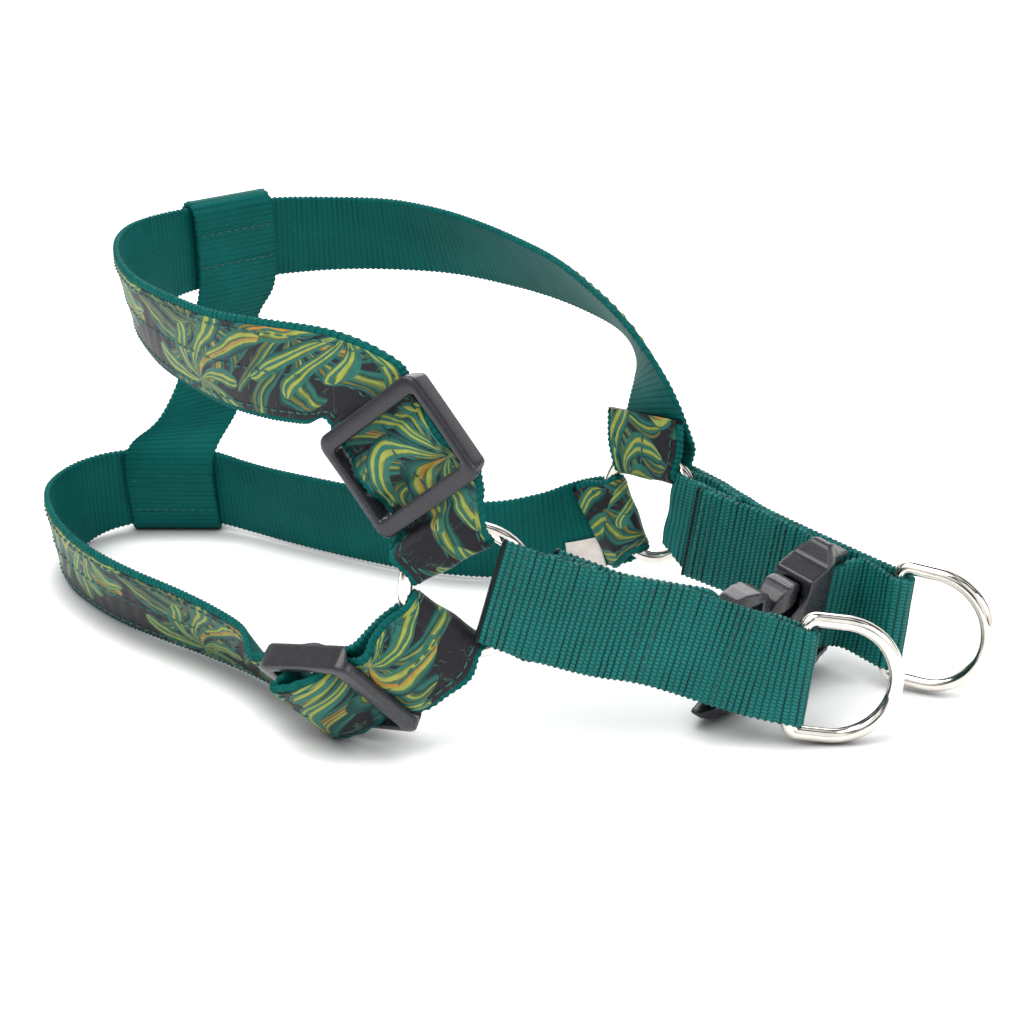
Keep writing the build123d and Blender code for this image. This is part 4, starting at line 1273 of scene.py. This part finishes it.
def build_tab(label, body, ring, axes, d_bar, d_up, wrap, cloth, thread):
    line = Line(tab_rows(ring, axes, d_bar, d_up, wrap), step=TAB_STEP, softening=0.7)
    tab = webbing(f"{label}_tab_webbing", line, fine=True, sealed_and_shaded_ends=(True, True))
    dress(tab, cloth, body, [f"{label}_lead_tab"])
    loop = webbing(f"{label}_ring_webbing", Line(ring_loop_rows(ring, axes), softening=0.7))
    dress(loop, cloth, body, [f"{label}_ring_loop"])
    sewn = []
    for s, h in TAB_SEAMS:
        for sign in (1, -1):
            if sign < 0 and s < TAB_INNER_END[0][0]:
                s = s + TAB_INNER_END[0][0] - TAB_OUTER_END[0][0]
                h = TAB_INNER_SEAM
            origin = tab_point(ring, axes, s, sign * (h + SEAM_LIFT))
            sewn += seam_across(origin, axes[0], axes[1], axes[2] * sign)
    seam = stitches_object(f"{label}_tab_seams", sewn)
    dress(seam, thread, body, [f"{label}_tab_stitching"])


def build_chest(cloth, thread):
    line = Line(chest_rows(), softening=0.8)
    strap = webbing("chest_strap_webbing", line, sealed_and_shaded_ends=(True, True))
    dress(strap, cloth, "near_side", ["chest_strap"])
    places = (("chest_upper", CHEST_TOP, CHEST_TOP_UP, CHEST_TOP_RUN, 1),
              ("chest_lower", CHEST_FOOT, CHEST_FOOT_UP, CHEST_FOOT_RUN, -1))
    for label, point, up, run, sense in places:
        u = unit(up)
        t = unit(run)
        out = unit(np.cross(u, t))
        sewn = []
        for k in CHEST_SEAMS:
            for face in (CHEST_OUTER + SEAM_LIFT, CHEST_INNER - SEAM_LIFT):
                origin = point + out * face + u * (k * sense)
                sewn += seam_across(origin, u, t, out * np.sign(face))
        seam = stitches_object(f"{label}_seams", sewn)
        dress(seam, thread, "near_side", [f"{label}_stitching"])


def build_hardware(nickel, plastic):
    """Rings, sliders and the buckle, each on its own body."""
    metal = ((o_ring("near_ring", NEAR_RING, NEAR_AXES), "near_joining_ring", "near_o_ring"),
             (o_ring("far_ring", FAR_RING, FAR_AXES), "far_joining_ring", "far_o_ring"),
             (d_ring("near_dee", NEAR_D_BAR, NEAR_D_UP, NEAR_D_OUT), "near_lead_d", "near_d_ring"),
             (d_ring("far_dee", FAR_D_BAR, FAR_D_UP, FAR_D_OUT), "far_lead_d", "far_d_ring"))
    for piece, body, node in metal:
        dress(piece, nickel, body, [node])
    neck_glide = slider("neck_glide", NECK_SLIDER, NECK_SLIDER_RUN, NECK_SLIDER_UP)
    girth_glide = slider("girth_glide", GIRTH_SLIDER, GIRTH_SLIDER_RUN, GIRTH_SLIDER_UP)
    moulding = ((neck_glide, "neck_adjuster", "neck_slider"),
                (girth_glide, "girth_adjuster", "girth_slider"),
                (plug_body(), "near_side", "buckle_plug"),
                (plug_arm("upper_spring_arm", 1), "upper_arm", "plug_upper_arm"),
                (plug_arm("lower_spring_arm", -1), "lower_arm", "plug_lower_arm"),
                (socket_body(), "far_side", "buckle_socket"))
    for piece, body, node in moulding:
        dress(piece, plastic, body, [node])


def care_label(line, material):
    """Blank satin label, gently curved, sewn down at both ends."""
    start = line.s[-1] - LABEL_BACK
    columns = 16
    rows_count = 24
    points, uv = [], []
    for layer in (LABEL_HALF_THICK, -LABEL_HALF_THICK):
        for i in range(rows_count + 1):
            for j in range(columns + 1):
                a, b = j / columns, i / rows_count
                curl = LABEL_CURL * math.sin(math.pi * a) + 0.1 * math.sin(9 * b + 3 * a)
                at = int(np.searchsorted(line.s, start + a * LABEL_LENGTH))
                lift = WEB_THICK / 2 + LABEL_CLEAR + curl + layer
                points.append(line.centre[at] - line.out[at] * lift
                              + line.up[at] * (LABEL_LOW + b * LABEL_HEIGHT))
                uv.append((a * LABEL_LENGTH, b * LABEL_HEIGHT))
    faces = []
    wide = columns + 1
    sheet = wide * (rows_count + 1)
    for i in range(rows_count):
        for j in range(columns):
            a = i * wide + j
            faces.append([a, a + 1, a + wide + 1, a + wide])
            faces.append([sheet + a, sheet + a + wide, sheet + a + wide + 1, sheet + a + 1])
    rim = (list(range(wide)) + [i * wide + columns for i in range(1, rows_count + 1)]
           + [rows_count * wide + j for j in range(columns - 1, -1, -1)]
           + [i * wide for i in range(rows_count - 1, 0, -1)])
    for a, b in zip(rim, rim[1:] + rim[:1]):
        faces.append([a, b, sheet + b, sheet + a])
    piece = make_object("blank_label", points, faces, uv)
    dress(piece, material, replaces=["care_label"])
    bend(piece)


def straps():
    """Centre lines of the neck and the girth strap, arched in their sliders' windows."""
    neck_place = (NECK_SLIDER, NECK_SLIDER_RUN, NECK_SLIDER_UP)
    girth_place = (GIRTH_SLIDER, GIRTH_SLIDER_RUN, GIRTH_SLIDER_UP)
    neck_tail_up = radial(FAR_AXES, FAR_NECK_FOLD_ANGLE - 90)
    neck = Line(loop_rows(NECK_FOLD_ANGLE, *neck_place, NECK_STRAIGHT, NECK_ROUTE,
                          FAR_NECK_FOLD_ANGLE, NECK_TAIL, neck_tail_up))
    girth = Line(loop_rows(GIRTH_FOLD_ANGLE, *girth_place, GIRTH_STRAIGHT, GIRTH_ROUTE,
                           FAR_GIRTH_FOLD_ANGLE, GIRTH_TAIL, FAR_GIRTH_TAIL_UP))
    arches = ((neck, neck_place, NECK_ARCH), (girth, girth_place, GIRTH_ARCH))
    for line, (origin, run, up), (ahead, height, reach, lean) in arches:
        run = unit(run)
        out = unit(np.cross(up, run))
        line.bulge(origin + run * ahead, run, out, height, reach, lean)
    return neck, girth


def build():
    cloth = webbing_material("smooth_nylon", 0.3, 0.05, 0.22)
    ribbed = webbing_material("ribbed_nylon", 1.0, 0.16, 0.28)
    printed = print_material()
    thread = thread_material()
    neck, girth = straps()
    build_loop("neck", neck, cloth, printed, thread)
    build_loop("girth", girth, cloth, printed, thread)
    axis = BUCKLE_PLACE[0][0]
    up = BUCKLE_PLACE[0][2]
    socket_bar = PLUG_BAR + axis * BUCKLE_BAR_SPAN
    build_tab("near", "near_side", NEAR_RING, NEAR_AXES, NEAR_D_BAR, NEAR_D_UP,
              bar_wrap(NEAR_AXES, PLUG_BAR, up, axis), ribbed, thread)
    build_tab("far", "far_side", FAR_RING, FAR_AXES, FAR_D_BAR, FAR_D_UP,
              bar_wrap(FAR_AXES, socket_bar, up, -axis), ribbed, thread)
    build_chest(cloth, thread)
    build_hardware(nickel_material(), plastic_material())
    care_label(girth, label_material())


# ---------------- studio

def floor_material():
    """Pale paper with a painted contact shadow where something lies close over it, and a painted
    glow that fades out there.
    """
    look = Surface("pale_floor", 0.9, specular=0.1)
    near = look.node("AmbientOcclusion")
    near.inputs["Distance"].default_value = 0.012
    near.samples = 12
    open_sky = look.field(near.outputs["AO"])
    # painted contact shadow: the paper's colour darkens as ambient occlusion closes in
    look.colour(look.ramp(open_sky, [(0.25, (0.24, 0.25, 0.25)), (0.62, (0.74, 0.74, 0.74)),
                                     (0.85, (0.97, 0.97, 0.97))]))
    # painted glow: the paper emits light everywhere except close under things
    painted_glow = look.ramp(open_sky, [(0.5, (0.0, 0.0, 0.0)), (0.9, (1.0, 1.0, 1.0))])
    look.link(painted_glow, look.shader.inputs["Emission Color"])
    look.shader.inputs["Emission Strength"].default_value = 0.14
    return look.material


def studio_world():
    """White surroundings with a few dim patches for the metal to reflect."""
    world = bpy.data.worlds.new("studio")
    bpy.context.scene.world = world
    world.use_nodes = True
    tree = world.node_tree
    place = tree.nodes.new("ShaderNodeTexCoord")
    patches = tree.nodes.new("ShaderNodeTexNoise")
    patches.inputs["Scale"].default_value = 1.7
    patches.inputs["Detail"].default_value = 1.0
    tree.links.new(place.outputs["Generated"], patches.inputs["Vector"])
    ramp = tree.nodes.new("ShaderNodeValToRGB")
    ramp.color_ramp.elements[0].position = 0.42
    ramp.color_ramp.elements[0].color = (0.10, 0.10, 0.11, 1.0)
    ramp.color_ramp.elements[1].position = 0.50
    ramp.color_ramp.elements[1].color = (1.0, 1.0, 1.0, 1.0)
    tree.links.new(patches.outputs["Fac"], ramp.inputs[0])
    background = tree.nodes["Background"]
    tree.links.new(ramp.outputs[0], background.inputs["Color"])
    background.inputs["Strength"].default_value = 1.15


def studio():
    scene = bpy.context.scene
    scene.view_settings.view_transform = "Standard"
    corners = [(x * FLOOR_HALF, y * FLOOR_HALF, 0) for x, y in ((-1, -1), (1, -1), (1, 1), (-1, 1))]
    floor_mesh = bpy.data.meshes.new("floor")
    floor_mesh.from_pydata(corners, [], [(0, 1, 2, 3)])
    add_object("floor", floor_mesh)
    floor_mesh.materials.append(floor_material())
    studio_world()
    for name, place, width, watts in LIGHTS:
        data = bpy.data.lights.new(name, "AREA")
        data.size = width
        data.energy = watts
        lamp = add_object(name, data)
        lamp.location = place
        lamp.rotation_euler = facing(LIGHT_TARGET - np.array(place))


def facing(direction):
    """Rotation that points a lamp or the camera along a direction."""
    return Vector(direction).to_track_quat("-Z", "Y").to_matrix().to_euler()


def camera():
    """At the product shot's angle and distance, looking at the frame's middle."""
    back = np.array([0.0, -math.cos(CAMERA_ELEVATION), math.sin(CAMERA_ELEVATION)])
    data = bpy.data.cameras.new("camera")
    data.sensor_width = 36.0
    data.lens = CAMERA_LENS
    data.clip_start = 0.01
    data.clip_end = 100.0
    shot = add_object("camera", data)
    shot.location = FRAME_SHIFT * MM + back * CAMERA_DISTANCE
    shot.rotation_euler = facing(-back)
    bpy.context.scene.camera = shot


camera()
studio()
build()
